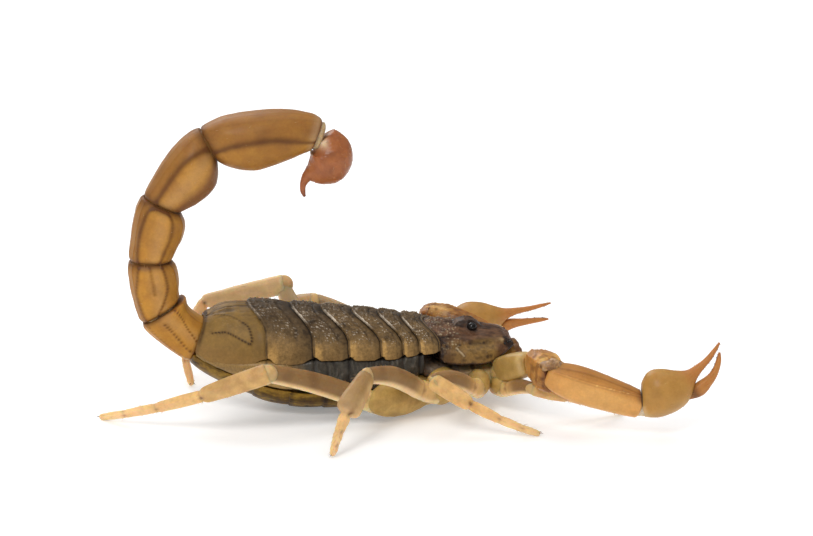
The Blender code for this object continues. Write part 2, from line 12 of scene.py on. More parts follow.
import bpy
import numpy as np
from mathutils import Matrix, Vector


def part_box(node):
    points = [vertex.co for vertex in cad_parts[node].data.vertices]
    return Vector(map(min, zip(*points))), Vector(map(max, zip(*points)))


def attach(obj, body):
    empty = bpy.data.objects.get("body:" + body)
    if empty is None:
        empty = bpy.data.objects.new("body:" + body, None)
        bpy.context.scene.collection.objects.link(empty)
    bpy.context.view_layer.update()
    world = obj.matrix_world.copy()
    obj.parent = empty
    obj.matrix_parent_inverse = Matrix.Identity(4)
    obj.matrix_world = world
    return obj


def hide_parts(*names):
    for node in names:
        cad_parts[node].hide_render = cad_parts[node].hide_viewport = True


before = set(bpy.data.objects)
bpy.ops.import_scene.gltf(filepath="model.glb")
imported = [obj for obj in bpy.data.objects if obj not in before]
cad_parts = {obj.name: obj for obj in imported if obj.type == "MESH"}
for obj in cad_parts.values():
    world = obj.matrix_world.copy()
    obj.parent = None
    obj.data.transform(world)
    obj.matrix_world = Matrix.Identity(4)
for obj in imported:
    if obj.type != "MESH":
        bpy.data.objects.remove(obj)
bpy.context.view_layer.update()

MM = 0.001
UP = np.array((0.0, 0.0, 1.0))
LEFT = np.array((0.0, 1.0, 0.0))
GAP = 0.12  # between two neighbouring plates or segments
SIDES = (("left", 1), ("right", -1))
RANDOM = np.random.default_rng(11)
TUFT_PATCH = 0.003  # the side of a bristle's patch on its UV map

# ---- the solids' own sizes, which these surfaces keep ----
TRUNK = (  # x, half width, height of the back, height of the belly
    (-16.7, 2.6, 9.85, 5.3), (-15.3, 3.45, 10.6, 3.9), (-13.5, 4.2, 10.95, 2.5),
    (-11.0, 4.85, 11.0, 1.2), (-7.5, 5.3, 10.6, 0.4), (-3.0, 5.5, 10.05, 0.3),
    (1.5, 5.3, 9.45, 0.9), (4.0, 5.0, 9.0, 2.2), (6.4, 4.7, 8.65, 3.1),
)
TAIL_END_LEAN = (-12.0, 0.33)
TRUNK_POWER = 2.25
PLATE_THICKNESS = 0.45
PLATE_LIFT = 0.22
TERGITE_MARGINS = (  # x on the back, how far forward the margin is at the sides
    (5.15, 1.35), (3.1, 1.4), (0.8, 2.05), (-1.8, 2.45), (-4.9, 2.35), (-7.95, 1.9), (-12.3, 1.6),
    (-16.6, 0.0),
)
SWEEP_END = math.radians(58)
# x on the back, degrees from the midline down to the plates' lower edge
TERGITE_SPREAD = (
    (-16.7, 112), (-15.5, 110), (-14.0, 101), (-11.1, 90), (-8.0, 86), (-6.0, 81), (-4.0, 79),
    (5.5, 78),
)
STERNITE_MARGINS = (0.9, -1.6, -5.0, -8.4, -12.0, -16.6)
STERNITE_START = math.radians(118)
PLEURA_BULGE = (math.radians(-1), math.radians(114))
CARAPACE = (  # x, half width, height of its top, height of its rim
    (5.0, 4.55, 8.8, 5.7), (7.6, 4.65, 8.7, 5.1), (9.4, 4.45, 8.45, 4.95), (11.2, 4.0, 8.3, 4.85),
    (12.2, 3.6, 8.05, 5.1), (13.1, 3.1, 7.6, 5.55), (13.8, 2.6, 7.05, 5.95), (14.2, 2.2, 6.65, 6.2),
)
TUBERCLE = np.array((9.8, 0.0, 8.45))
TUBERCLE_SIZE = (1.3, 0.7, 0.45)
EYE_OFFSET = np.array((0.4, 0.78, -0.22))
EYE_RADIUS = 0.42
EYE_SHIFT = np.array((-0.08, 0.28, -0.2))  # from the solid eye to the middle of its lens
PROSOMA_XS = (5.0, 12.2)
PROSOMA_LOW = 3.1
PROSOMA_INSET = 0.7
STERNUM = (8.6, 7.2, 1.95, 0.55, 1.0)
GENITAL_PLATE = (6.6, 5.0, 1.75, 1.1, 0.75)
PECTEN = ((4.6, 0.8, 1.1), (0.2, 4.6, 0.95))
PECTEN_STAGES = ((0, 0.5), (0.2, 0.85), (0.5, 0.9), (0.8, 0.75), (1, 0.35))
PECTEN_HALF_THICKNESS = 0.27
CHELICERA_Y = 0.95
CHELICERA = ((12.7, 4.75, 0.5), (13.3, 4.8, 0.75), (14.2, 5.1, 0.85), (14.8, 5.3, 0.75), (15.25, 5.2, 0.35))
TAIL_JOINTS = ((-17.25, 7.6), (-21.0, 10.4), (-21.75, 15.7), (-20.5, 21.4), (-15.7, 27.1), (-5.25, 27.85))
TAIL_SEGMENTS = (  # share of the length, reach towards the inside of the curl, reach towards the outside
    (
        (0, 1.95, 2.3), (0.12, 1.8, 2.55), (0.35, 1.8, 2.6), (0.6, 2.0, 2.5),
        (0.85, 2.55, 2.3), (1, 2.55, 2.0),
    ),
    (
        (0, 1.8, 1.9), (0.1, 2.1, 2.15), (0.3, 2.2, 2.35), (0.55, 2.4, 2.45),
        (0.85, 2.35, 2.4), (1, 1.95, 2.1),
    ),
    (
        (0, 1.85, 2.05), (0.08, 2.05, 2.25), (0.3, 2.3, 2.35), (0.5, 2.6, 2.45),
        (0.8, 2.6, 2.4), (1, 1.95, 2.05),
    ),
    (
        (0, 1.8, 1.95), (0.08, 2.05, 2.1), (0.28, 2.6, 2.4), (0.5, 2.9, 2.62),
        (0.72, 2.85, 2.62), (0.88, 2.3, 2.35), (1, 1.5, 1.95),
    ),
    (
        (0, 1.55, 1.9), (0.06, 1.95, 2.2), (0.2, 2.48, 2.75), (0.42, 2.7, 3.0),
        (0.68, 2.18, 2.9), (0.9, 1.55, 2.25), (1, 1.3, 1.6),
    ),
)
TAIL_POWER = 2.5
TAIL_WIDTH = 1.02
VESICLE_PATH = ((-4.55, 0, 27.7), (-2.9, 0, 25.3), (-5.9, 0, 24.0))
ACULEUS_PATH = ((-6.1, 0, 23.95), (-7.0, 0, 22.9), (-6.45, 0, 21.75))
VESICLE_STAGES = (
    (0.0, 1.3, 1.2, 1.2), (0.12, 1.8, 1.55, 1.5), (0.3, 2.2, 1.85, 1.85), (0.5, 2.35, 2.0, 2.0),
    (0.72, 2.15, 1.85, 1.85), (0.88, 1.55, 1.4, 1.35), (1.0, 0.9, 0.8, 0.8),
)
ACULEUS_STAGES = (
    (0.0, 0.7, 0.6, 0.62), (0.2, 0.5, 0.42, 0.46), (0.5, 0.32, 0.3, 0.31), (0.8, 0.25, 0.25, 0.25),
    (1.0, 0.12, 0.12, 0.12),
)
FOOT_HEIGHT = 0.2
LEGS = {  # coxa, hip, knee, a guide for the bow of the shin, x and y of the foot
    "right_1": ((12.2, -1.2, 1.7), (12.9, -4.6, 2.6), (15.3, -8.5, 3.8), (20.0, -8.6, 2.6), (24.6, -6.2)),
    "right_2": ((10.6, -1.3, 1.7), (10.4, -5.4, 3.0), (5.2, -10.2, 5.5), (10.2, -12.7, 2.3), (15.5, -11.6)),
    "right_3": ((9.1, -1.3, 1.7), (5.6, -5.7, 2.8), (-1.4, -11.4, 6.6), (-4.1, -15.8, 4.8), (-5.1, -15.6)),
    "right_4": ((7.5, -1.4, 1.6), (0.8, -6.3, 1.9), (-10.9, -10.4, 6.9), (-19.8, -8.8, 3.1), (-27.2, -2.2)),
    "left_1": ((12.2, 1.2, 1.7), (13.0, 4.5, 2.2), (12.8, 8.8, 2.9), (14.4, 13.4, 3.4), (12.0, 13.2)),
    "left_2": ((10.6, 1.3, 1.7), (10.4, 5.2, 2.2), (4.0, 10.2, 3.2), (2.2, 16.2, 4.4), (4.0, 16.0)),
    "left_3": ((9.1, 1.3, 1.7), (4.8, 5.7, 2.2), (-4.9, 10.0, 7.9), (-9.6, 16.6, 5.0), (-9.0, 16.8)),
    "left_4": ((7.5, 1.4, 1.6), (-2.0, 7.4, 2.6), (-8.1, 9.2, 10.1), (-21.0, 15.0, 8.8), (-17.9, 7.0)),
}
# For each pair: thickness, half heights at the patella's two ends, arch of the femur as a share of its length
LEG_SHAPES = {
    "1": (0.75, 1.0, 0.85, 0.06),
    "2": (0.88, 0.95, 0.9, 0.08),
    "3": (1.0, 0.95, 1.35, 0.08),
    "4": (1.04, 1.0, 0.83, 0.03),
}
TROCHANTER_SHARE = 0.2
SHIN_SHARES = (0.37, 0.62, 0.83)
OTHER_SHIN_SHARES = {"right_3": (0.54, 0.74, 0.88), "left_4": (0.48, 0.68, 0.86)}
UPPER_LEG = ((0.9, 1.2), (1.05, 1.0), (1.0, 0.85))
LOWER_LEG = ((0.6, 0.54), (0.47, 0.43), (0.4, 0.35))
LIMB_POWER = 2.25
UPPER_LEG_WIDTH = 0.66
LOWER_LEG_WIDTH = 0.78
ARMS = {  # coxa, shoulder, elbow, wrist, hand bend, fixed tip, finger root, finger bend, finger tip
    "right": (
        (12.7, -3.2, 4.15),
        (15.0, -6.4, 5.7),
        (16.8, -11.6, 6.1),
        (25.3, -12.6, 3.15),
        (29.5, -12.9, 4.9),
        (33.0, -12.0, 9.1),
        (30.4, -12.9, 4.35),
        (32.75, -12.9, 5.7),
        (32.95, -12.3, 8.2),
    ),
    "left": (
        (12.7, 3.2, 4.2),
        (13.6, 6.2, 5.2),
        (6.9, 9.3, 6.05),
        (10.0, 16.5, 2.8),
        (15.2, 17.4, 2.9),
        (21.1, 17.1, 4.8),
        (15.3, 17.4, 1.35),
        (17.9, 17.5, 2.3),
        (20.9, 17.2, 2.95),
    ),
}
ARM_STAGES = {
    "trochanter": ((0, 1.15), (0.3, 1.35), (0.75, 1.3), (1, 0.95)),
    "femur": ((0, 1.0), (0.2, 1.4), (0.7, 1.85), (1, 1.55)),
    "patella": ((0, 1.05), (0.12, 1.5), (0.35, 1.8), (0.8, 1.55), (1, 1.3)),
}
ARM_POWERS = {"trochanter": 3.2, "femur": 2.8, "patella": 2.3}
ARM_WIDTHS = {"trochanter": 0.9, "femur": 0.8, "patella": 0.9}
HAND_STAGES = (
    (0.0, 1.0, 1.2, 1.1), (0.06, 1.9, 1.5, 1.5), (0.13, 2.55, 1.7, 1.85), (0.2, 2.85, 1.8, 2.0),
    (0.28, 2.8, 1.85, 1.95), (0.38, 2.35, 1.75, 1.65), (0.48, 1.55, 1.3, 1.15),
    (0.57, 0.9, 0.6, 0.65), (0.67, 0.6, 0.3, 0.42), (0.8, 0.34, 0.28, 0.3), (0.92, 0.22, 0.2, 0.2),
    (1.0, 0.1, 0.1, 0.1),
)
HAND_BULGES = {"right": 1.0, "left": 0.74}
FINGER_STAGES = (
    (0.0, 0.6, 0.7, 0.65), (0.15, 0.62, 0.68, 0.62), (0.35, 0.44, 0.48, 0.45),
    (0.6, 0.34, 0.36, 0.34), (0.85, 0.24, 0.25, 0.24), (1.0, 0.1, 0.1, 0.1),
)

# the animal's own axes lie a little off the frame's, by as much as this eye does
_low, _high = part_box("eye_median_right")
_eye = (TUBERCLE + EYE_OFFSET * (1, -1, 1)) * MM
SHIFT = (np.array(_low) + np.array(_high)) / 2 - _eye


# ---------------------------------------------------------------- arrays


def unit(v):
    return v / np.maximum(np.linalg.norm(v, axis=-1, keepdims=True), 1e-9)


def smooth(low, high, x):
    """0 below low and 1 above high, with a soft step between; high may be the smaller one."""
    t = np.clip((x - low) / (high - low), 0, 1)
    return t * t * (3 - 2 * t)


def hump(x, middle, width):
    return np.exp(-(((x - middle) / width) ** 2))


def flow(x, table):
    """The table's columns at x, on a smooth curve through its rows, which start with their own x."""
    table = np.array(sorted(map(tuple, table)), float)
    knots, values = table[:, 0], table[:, 1:]
    slopes = np.empty_like(values)
    slopes[1:-1] = (values[2:] - values[:-2]) / (knots[2:] - knots[:-2])[:, None]
    slopes[0] = (values[1] - values[0]) / (knots[1] - knots[0])
    slopes[-1] = (values[-1] - values[-2]) / (knots[-1] - knots[-2])
    x = np.clip(np.asarray(x, float), knots[0], knots[-1])
    k = np.clip(np.searchsorted(knots, x, "right") - 1, 0, len(knots) - 2)
    span = (knots[k + 1] - knots[k])[..., None]
    t = (x - knots[k])[..., None] / span
    curve = values[k] * (2 * t**3 - 3 * t**2 + 1) + slopes[k] * span * (t**3 - 2 * t**2 + t)
    curve += values[k + 1] * (3 * t**2 - 2 * t**3) + slopes[k + 1] * span * (t**3 - t**2)
    return np.moveaxis(curve, -1, 0)


def bent(path, t):
    """Points at t on the quadratic curve from path[0] to path[2] that leans towards path[1]."""
    start, guide, end = (np.asarray(p, float) for p in path)
    t = np.asarray(t, float)[..., None]
    return start * (1 - t) ** 2 + guide * 2 * t * (1 - t) + end * t**2


def rounded(angle, power):
    """(cosine, sine) of a superellipse: an ellipse at power 2, squarer above it."""
    c, s = np.cos(angle), np.sin(angle)
    return np.sign(c) * abs(c) ** (2 / power), np.sign(s) * abs(s) ** (2 / power)


def turns(count):
    return np.linspace(0, 2 * math.pi, count, endpoint=False)


def stops(count, pinch=0.8):
    """Values from 0 to 1 that lie closer together near both ends."""
    x = np.linspace(0, 1, count)
    return x - pinch * np.sin(2 * math.pi * x) / (2 * math.pi)


def scramble(cell, seed):
    """A fixed random number from 0 to 1 for each cell of a 3-D grid."""
    h = cell[..., 0] * 374761393 + cell[..., 1] * 668265263 + cell[..., 2] * 1440662683
    h = (h + seed * 974711) & 0xFFFFFFFF
    h = ((h ^ (h >> 13)) * 1274126177) & 0xFFFFFFFF
    return ((h ^ (h >> 16)) & 0xFFFFFF) / 0xFFFFFF


def noise(points, size, seed=0):
    """Soft noise from -1 to 1 with lumps of that size, which may be three sizes."""
    q = points / np.asarray(size, float)
    cell = np.floor(q).astype(np.int64)
    f = q - cell
    f = f * f * (3 - 2 * f)
    total = 0
    for corner in itertools.product((0, 1), repeat=3):
        weight = np.prod(np.where(corner, f, 1 - f), axis=-1)
        total = total + weight * scramble(cell + corner, seed)
    return total * 2 - 1


def grains(points, size, seed=0, fill=1.0):
    """Round domes from 0 to 1, about one in each cell of that size; fill is the share that are there."""
    q = points / size
    cell = np.floor(q).astype(np.int64)
    best = np.zeros(q.shape[:-1])
    for offset in itertools.product((-1, 0, 1), repeat=3):
        here = cell + offset
        jitter = np.stack([scramble(here, seed + k) for k in (1, 2, 3)], axis=-1)
        away = np.linalg.norm(q - here - 0.2 - 0.6 * jitter, axis=-1)
        chance = scramble(here, seed + 4)
        radius = 0.3 + 0.3 * scramble(here, seed + 5)
        best = np.maximum(best, np.where(chance < fill, 1 - (away / radius) ** 2, 0))
    return best


def ball(centre, axes, radii, steps=26, around=40):
    """Rings of an ellipsoid from pole to pole, with its three axes and radii."""
    polar = np.linspace(0.05, math.pi - 0.05, steps)
    turn = turns(around)
    ring = np.stack([np.cos(turn), np.sin(turn), 0 * turn], -1) * np.sin(polar)[:, None, None]
    ring = ring + np.cos(polar)[:, None, None] * UP
    return centre + (ring * radii) @ np.asarray(axes)


def outward(points):
    """Unit normals of an array of rings, away from each ring's middle."""
    along = np.gradient(points, axis=0)
    around = np.roll(points, -1, 1) - np.roll(points, 1, 1)
    normal = unit(np.cross(along, around))
    middle = points.mean(axis=1, keepdims=True)
    return normal if (normal * (points - middle)).sum() > 0 else -normal


def loft(centre, side, up, width, top, bottom, power, around):
    """Rings whose sections are superellipses with their own axes and reaches."""
    c, s = rounded(turns(around), power)
    rise = np.where(s > 0, np.atleast_1d(top)[:, None], np.atleast_1d(bottom)[:, None]) * s
    wide = np.atleast_1d(width)[:, None] * c
    side, up = np.broadcast_to(side, centre.shape), np.broadcast_to(up, centre.shape)
    return centre[:, None] + side[:, None] * wide[..., None] + up[:, None] * rise[..., None]


def rim(t, length, radius, least=0.8):
    """How much the rings of a segment shrink towards its two ends, which are rounded by that radius."""
    near = np.minimum(t, 1 - t) * length / radius
    return least + (1 - least) * np.sqrt(1 - np.clip(1 - near, 0, 1) ** 2)


def from_line(points, degrees):
    """Distance round each ring from the line that runs along the piece at that angle."""
    step = np.linalg.norm(np.roll(points, -1, 1) - points, axis=-1)
    place = np.cumsum(step, axis=1) - step
    column = round(degrees / 360 * points.shape[1]) % points.shape[1]
    away = abs(place - place[:, column : column + 1])
    return np.minimum(away, step.sum(axis=1, keepdims=True) - away)


def keels(points, width, *degrees):
    """1 on the lines along the piece at those angles, and 0 well away from them."""
    return sum(hump(from_line(points, angle), 0, width) for angle in degrees)


def from_path(first, second, path):
    """(distance to, place along) a smooth line through the path's points, in the plane of the two sizes."""
    path = np.array(path, float)
    fine = flow(np.linspace(0, 1, 6 * len(path)), np.c_[np.linspace(0, 1, len(path)), path]).T
    best, place, total = np.full(first.shape, 1e9), np.zeros(first.shape), 0.0
    for start, end in zip(fine, fine[1:]):
        span = end - start
        size = np.hypot(*span)
        t = np.clip(((first - start[0]) * span[0] + (second - start[1]) * span[1]) / size**2, 0, 1)
        away = np.hypot(first - start[0] - t * span[0], second - start[1] - t * span[1])
        nearer = away < best
        best, place = np.where(nearer, away, best), np.where(nearer, total + t * size, place)
        total += size
    return best, place


def clipped(points, planes):
    """The points, with none beyond the planes (point, normal)."""
    for point, normal in planes:
        points = points - np.maximum(0, (points - point) @ normal)[..., None] * normal
    return points


# ---------------------------------------------------------------- pieces


def mesh_object(name, points, faces, paint):
    """A smooth object from points in the animal's axes, with its paint as a colour attribute."""
    mesh = bpy.data.meshes.new(name)
    mesh.vertices.add(len(points))
    mesh.vertices.foreach_set("co", (points * MM + SHIFT).astype(np.float32).ravel())
    sizes = np.concatenate([np.full(len(f), f.shape[1]) for f in faces])
    mesh.loops.add(int(sizes.sum()))
    mesh.polygons.add(len(sizes))
    corners = np.concatenate([f.ravel() for f in faces])
    mesh.loops.foreach_set("vertex_index", corners.astype(np.int32))
    mesh.polygons.foreach_set("loop_start", (np.cumsum(sizes) - sizes).astype(np.int32))
    mesh.update(calc_edges=True)
    mesh.shade_smooth()
    layer = mesh.color_attributes.new("paint", "FLOAT_COLOR", "POINT")
    colours = np.c_[np.clip(paint, 0, 1), np.ones(len(points))]
    layer.data.foreach_set("color", colours.astype(np.float32).ravel())
    obj = bpy.data.objects.new(name, mesh)
    bpy.context.scene.collection.objects.link(obj)
    return obj


def ring_faces(rings, around, flip):
    """Quads between the rings, and a fan at each end to the pole points that follow the rings' points."""
    i, j = np.meshgrid(np.arange(rings - 1), np.arange(around), indexing="ij")
    k = (j + 1) % around
    here, ahead = i * around, (i + 1) * around
    quads = np.stack([here + j, ahead + j, ahead + k, here + k], -1).reshape(-1, 4)
    j = np.arange(around)
    k = (j + 1) % around
    end, pole = (rings - 1) * around, rings * around
    fans = np.r_[np.c_[k, np.full(around, pole), j], np.c_[end + j, np.full(around, pole + 1), end + k]]
    faces = [quads, fans]
    return [f[:, ::-1] for f in faces] if flip else faces


def own(obj, finish, nodes=""):
    """Gives the object its finish and hangs it from the root body; nodes are the names of the solids that it
    replaces, which are hidden.
    """
    obj.data.materials.append(bpy.data.materials[finish])
    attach(obj, "root")
    nodes = nodes.split()
    if nodes:
        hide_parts(*nodes)


SKINS = {}  # name: (points, normals) of each surface, for the bristles that grow from it


def surface(name, finish, points, raised=0.0, paint=(), nodes="", planes=(), floor=None):
    """One closed piece from rings, each point raised along its normal.

    paint is up to three masks: dark keels and bands, with painted shade in creases; light rims and membranes,
    with painted glints, highlights and glow; and warm spots.
    """
    normal = outward(points)
    points = clipped(points + normal * np.asarray(raised)[..., None], planes)
    if floor is not None:
        points[..., 2] = np.maximum(points[..., 2], floor)
    SKINS[name] = (points, normal)
    rings, around = points.shape[:2]
    masks = [np.broadcast_to(mask, (rings, around)) for mask in (*paint, 0.0, 0.0, 0.0)[:3]]
    paint = np.stack(masks, -1).astype(float)
    along = np.gradient(points, axis=0)
    across = np.roll(points, -1, 1) - points
    flip = (np.cross(along, across) * normal).sum() < 0
    poles = points[[0, -1]].mean(axis=1)
    every = np.concatenate([points.reshape(-1, 3), poles])
    colours = np.concatenate([paint.reshape(-1, 3), paint[[0, -1]].mean(axis=1)])
    own(mesh_object(name, every, ring_faces(rings, around, flip), colours), finish, nodes)


def rods(name, finish, paths, radii, sides=6, dark=0.0, uv=None):
    """Many round tapered rods as one mesh: paths (rods, steps, 3) and radii (rods, steps).

    dark is the dark paint at each step, and uv the place of each rod's patch on its UV map.
    """
    paths, radii = np.asarray(paths, float), np.asarray(radii, float)
    way = unit(np.gradient(paths, axis=1))
    reference = np.where(abs(way[..., 2:]) < 0.9, UP, LEFT)
    side = unit(np.cross(way, reference))
    up = np.cross(side, way)
    turn = turns(sides)[:, None]
    circle = side[:, :, None] * np.cos(turn) + up[:, :, None] * np.sin(turn)
    rings = paths[:, :, None] + circle * radii[..., None, None]
    count, steps = paths.shape[:2]
    points = np.concatenate([rings.reshape(count, -1, 3), paths[:, :1], paths[:, -1:]], axis=1)
    size = points.shape[1]
    starts = (np.arange(count) * size)[:, None, None]
    faces = [(f[None] + starts).reshape(-1, f.shape[1]) for f in ring_faces(steps, sides, True)]
    shade = np.broadcast_to(dark, steps)
    paint = np.zeros((count, size, 3))
    paint[..., 0] = np.r_[np.repeat(shade, sides), shade[0], shade[-1]]
    obj = mesh_object(name, points.reshape(-1, 3), faces, paint.reshape(-1, 3))
    if uv is not None:
        corner = np.empty(len(obj.data.loops), np.int32)
        obj.data.loops.foreach_get("vertex_index", corner)
        rod, spot = corner // size, corner % size
        around, along = (spot % sides) / sides, np.minimum(spot // sides, steps) / steps
        places = np.asarray(uv)[rod] + TUFT_PATCH * np.c_[around - 0.5, along - 0.5]
        layer = obj.data.uv_layers.new(name="OFBake")
        layer.data.foreach_set("uv", places.astype(np.float32).ravel())
    own(obj, finish)


# ---------------------------------------------------------------- finishes

# What a cuticle has unless its row says otherwise. In millimetres, mottle and pores are widths and relief
# is a height. flesh is the share of light that enters and spreads, as deep as depth.
CUTICLE = dict(flesh=0.0, coat=0.0, pores=0.09, relief=0.012, grit=0.3, gloss=0.3, depth=1.1)
# For each finish: two mottled colours, the colours of the dark, the light and the warm paint, and its
# surface; the dark and light paint also carry painted shade and painted highlights
FINISHES = {
    "back_plate": (
        (0.08, 0.047, 0.02), (0.115, 0.072, 0.032),
        (0.016, 0.009, 0.004), (0.7, 0.6, 0.48), (0.43, 0.25, 0.08),
        dict(mottle=0.9, rough=(0.4, 0.6), coat=0.03, gloss=0.16),
    ),
    "last_plate": (
        (0.25, 0.145, 0.037), (0.19, 0.112, 0.034),
        (0.035, 0.017, 0.007), (0.4, 0.28, 0.17), (0.25, 0.14, 0.04),
        dict(mottle=1.3, rough=(0.42, 0.6), flesh=0.1, grit=0.12, gloss=0.18),
    ),
    "head_shield": (
        (0.092, 0.04, 0.018), (0.14, 0.066, 0.03),
        (0.024, 0.012, 0.007), (0.56, 0.46, 0.3), (0.26, 0.15, 0.04),
        dict(mottle=0.8, rough=(0.36, 0.56), coat=0.04, grit=0.2, gloss=0.2),
    ),
    "belly_plate": (
        (0.26, 0.15, 0.016), (0.13, 0.065, 0.01),
        (0.028, 0.012, 0.004), (0.5, 0.36, 0.16), (0.3, 0.17, 0.025),
        dict(mottle=1.1, rough=(0.32, 0.48), flesh=0.12, gloss=0.1),
    ),
    "soft_skin": (
        (0.045, 0.039, 0.03), (0.068, 0.059, 0.045),
        (0.012, 0.01, 0.009), (0.19, 0.165, 0.13), (0.34, 0.2, 0.055),
        dict(mottle=0.8, rough=(0.34, 0.52), coat=0.15, pores=0.06),
    ),
    "under_skin": (
        (0.25, 0.175, 0.11), (0.16, 0.12, 0.085),
        (0.035, 0.024, 0.02), (0.5, 0.33, 0.13), (0.3, 0.17, 0.06),
        dict(mottle=0.6, rough=(0.32, 0.5), flesh=0.3, coat=0.15, pores=0.06),
    ),
    "elbow_skin": (
        (0.42, 0.26, 0.14), (0.33, 0.18, 0.08),
        (0.16, 0.07, 0.025), (0.62, 0.48, 0.36), (0.42, 0.22, 0.06),
        dict(mottle=0.4, rough=(0.28, 0.45), flesh=0.2, pores=0.05, gloss=0.3),
    ),
    "joint_skin": (
        (0.56, 0.4, 0.2), (0.44, 0.29, 0.13),
        (0.11, 0.045, 0.014), (0.72, 0.64, 0.52), (0.4, 0.2, 0.06),
        dict(mottle=0.5, rough=(0.3, 0.5), flesh=0.4, coat=0.2, pores=0.05),
    ),
    "tail_shell": (
        (0.5, 0.235, 0.03), (0.41, 0.18, 0.024),
        (0.115, 0.042, 0.01), (0.74, 0.6, 0.4), (0.22, 0.092, 0.028),
        dict(mottle=1.6, rough=(0.4, 0.56), flesh=0.35, coat=0.04, grit=0.08, gloss=0.18),
    ),
    "venom_shell": (
        (0.35, 0.115, 0.032), (0.29, 0.092, 0.028),
        (0.07, 0.02, 0.012), (0.6, 0.42, 0.26), (0.38, 0.15, 0.035),
        dict(mottle=1.0, rough=(0.3, 0.48), flesh=0.35, coat=0.15, grit=0.08),
    ),
    "leg_shell": (
        (0.74, 0.49, 0.2), (0.6, 0.37, 0.14),
        (0.12, 0.035, 0.014), (0.86, 0.72, 0.46), (0.2, 0.108, 0.042),
        dict(mottle=1.1, rough=(0.36, 0.52), flesh=0.85, depth=1.2, coat=0.06, grit=0.06, gloss=0.22),
    ),
    "coxa_shell": (
        (0.62, 0.4, 0.12), (0.48, 0.3, 0.085),
        (0.1, 0.05, 0.014), (0.78, 0.62, 0.34), (0.27, 0.16, 0.045),
        dict(mottle=0.9, rough=(0.36, 0.52), flesh=0.5, coat=0.05, grit=0.08, gloss=0.22),
    ),
    "arm_shell": (
        (0.62, 0.29, 0.075), (0.52, 0.235, 0.058),
        (0.1, 0.03, 0.01), (0.78, 0.5, 0.17), (0.3, 0.125, 0.025),
        dict(mottle=1.8, rough=(0.34, 0.5), flesh=0.35, coat=0.08, grit=0.07, gloss=0.22),
    ),
    "hand_shell": (
        (0.45, 0.235, 0.056), (0.39, 0.195, 0.044),
        (0.09, 0.032, 0.01), (0.62, 0.46, 0.26), (0.42, 0.17, 0.042),
        dict(mottle=2.0, rough=(0.36, 0.52), flesh=0.3, coat=0.06, grit=0.06, gloss=0.22),
    ),
    "eye_lens": (
        (0.006, 0.005, 0.005), (0.01, 0.008, 0.007),
        (0.004, 0.004, 0.004), (0.05, 0.04, 0.03), (0.02, 0.012, 0.006),
        dict(mottle=0.3, rough=(0.06, 0.09), relief=0.0, gloss=0.35),
    ),
    "bristle": (
        (0.5, 0.32, 0.14), (0.4, 0.24, 0.1),
        (0.16, 0.06, 0.02), (0.7, 0.6, 0.4), (0.4, 0.2, 0.07),
        dict(mottle=2.0, rough=(0.35, 0.5), relief=0.0, grit=0.1),
    ),
    "claw": (
        (0.2, 0.075, 0.025), (0.16, 0.055, 0.02),
        (0.045, 0.014, 0.008), (0.5, 0.3, 0.15), (0.3, 0.1, 0.03),
        dict(mottle=0.4, rough=(0.25, 0.4), coat=0.2, grit=0.1),
    ),
}


def fill(made, inputs):
    """Links each input to its socket, or sets it to its value."""
    for key, value in inputs.items():
        if isinstance(value, bpy.types.NodeSocket):
            made.id_data.links.new(value, made.inputs[key])
        else:
            made.inputs[key].default_value = (*value, 1) if isinstance(value, tuple) else value
    return made


def add_node(tree, kind, inputs=(), **settings):
    made = tree.nodes.new(kind)
    for key, value in settings.items():
        setattr(made, key, value)
    return fill(made, dict(inputs)).outputs


def mixed(tree, share, first, second, blend="MIX"):
    """The colour between two colours or sockets."""
    inputs = {0: share, 6: first, 7: second}  # the inputs that a mix of colours has, by their place
    return add_node(tree, "ShaderNodeMix", inputs, data_type="RGBA", blend_type=blend)[2]


def ranged(tree, value, low, high, to_low, to_high):
    inputs = {"Value": value, "From Min": low, "From Max": high, "To Min": to_low, "To Max": to_high}
    return add_node(tree, "ShaderNodeMapRange", inputs)[0]


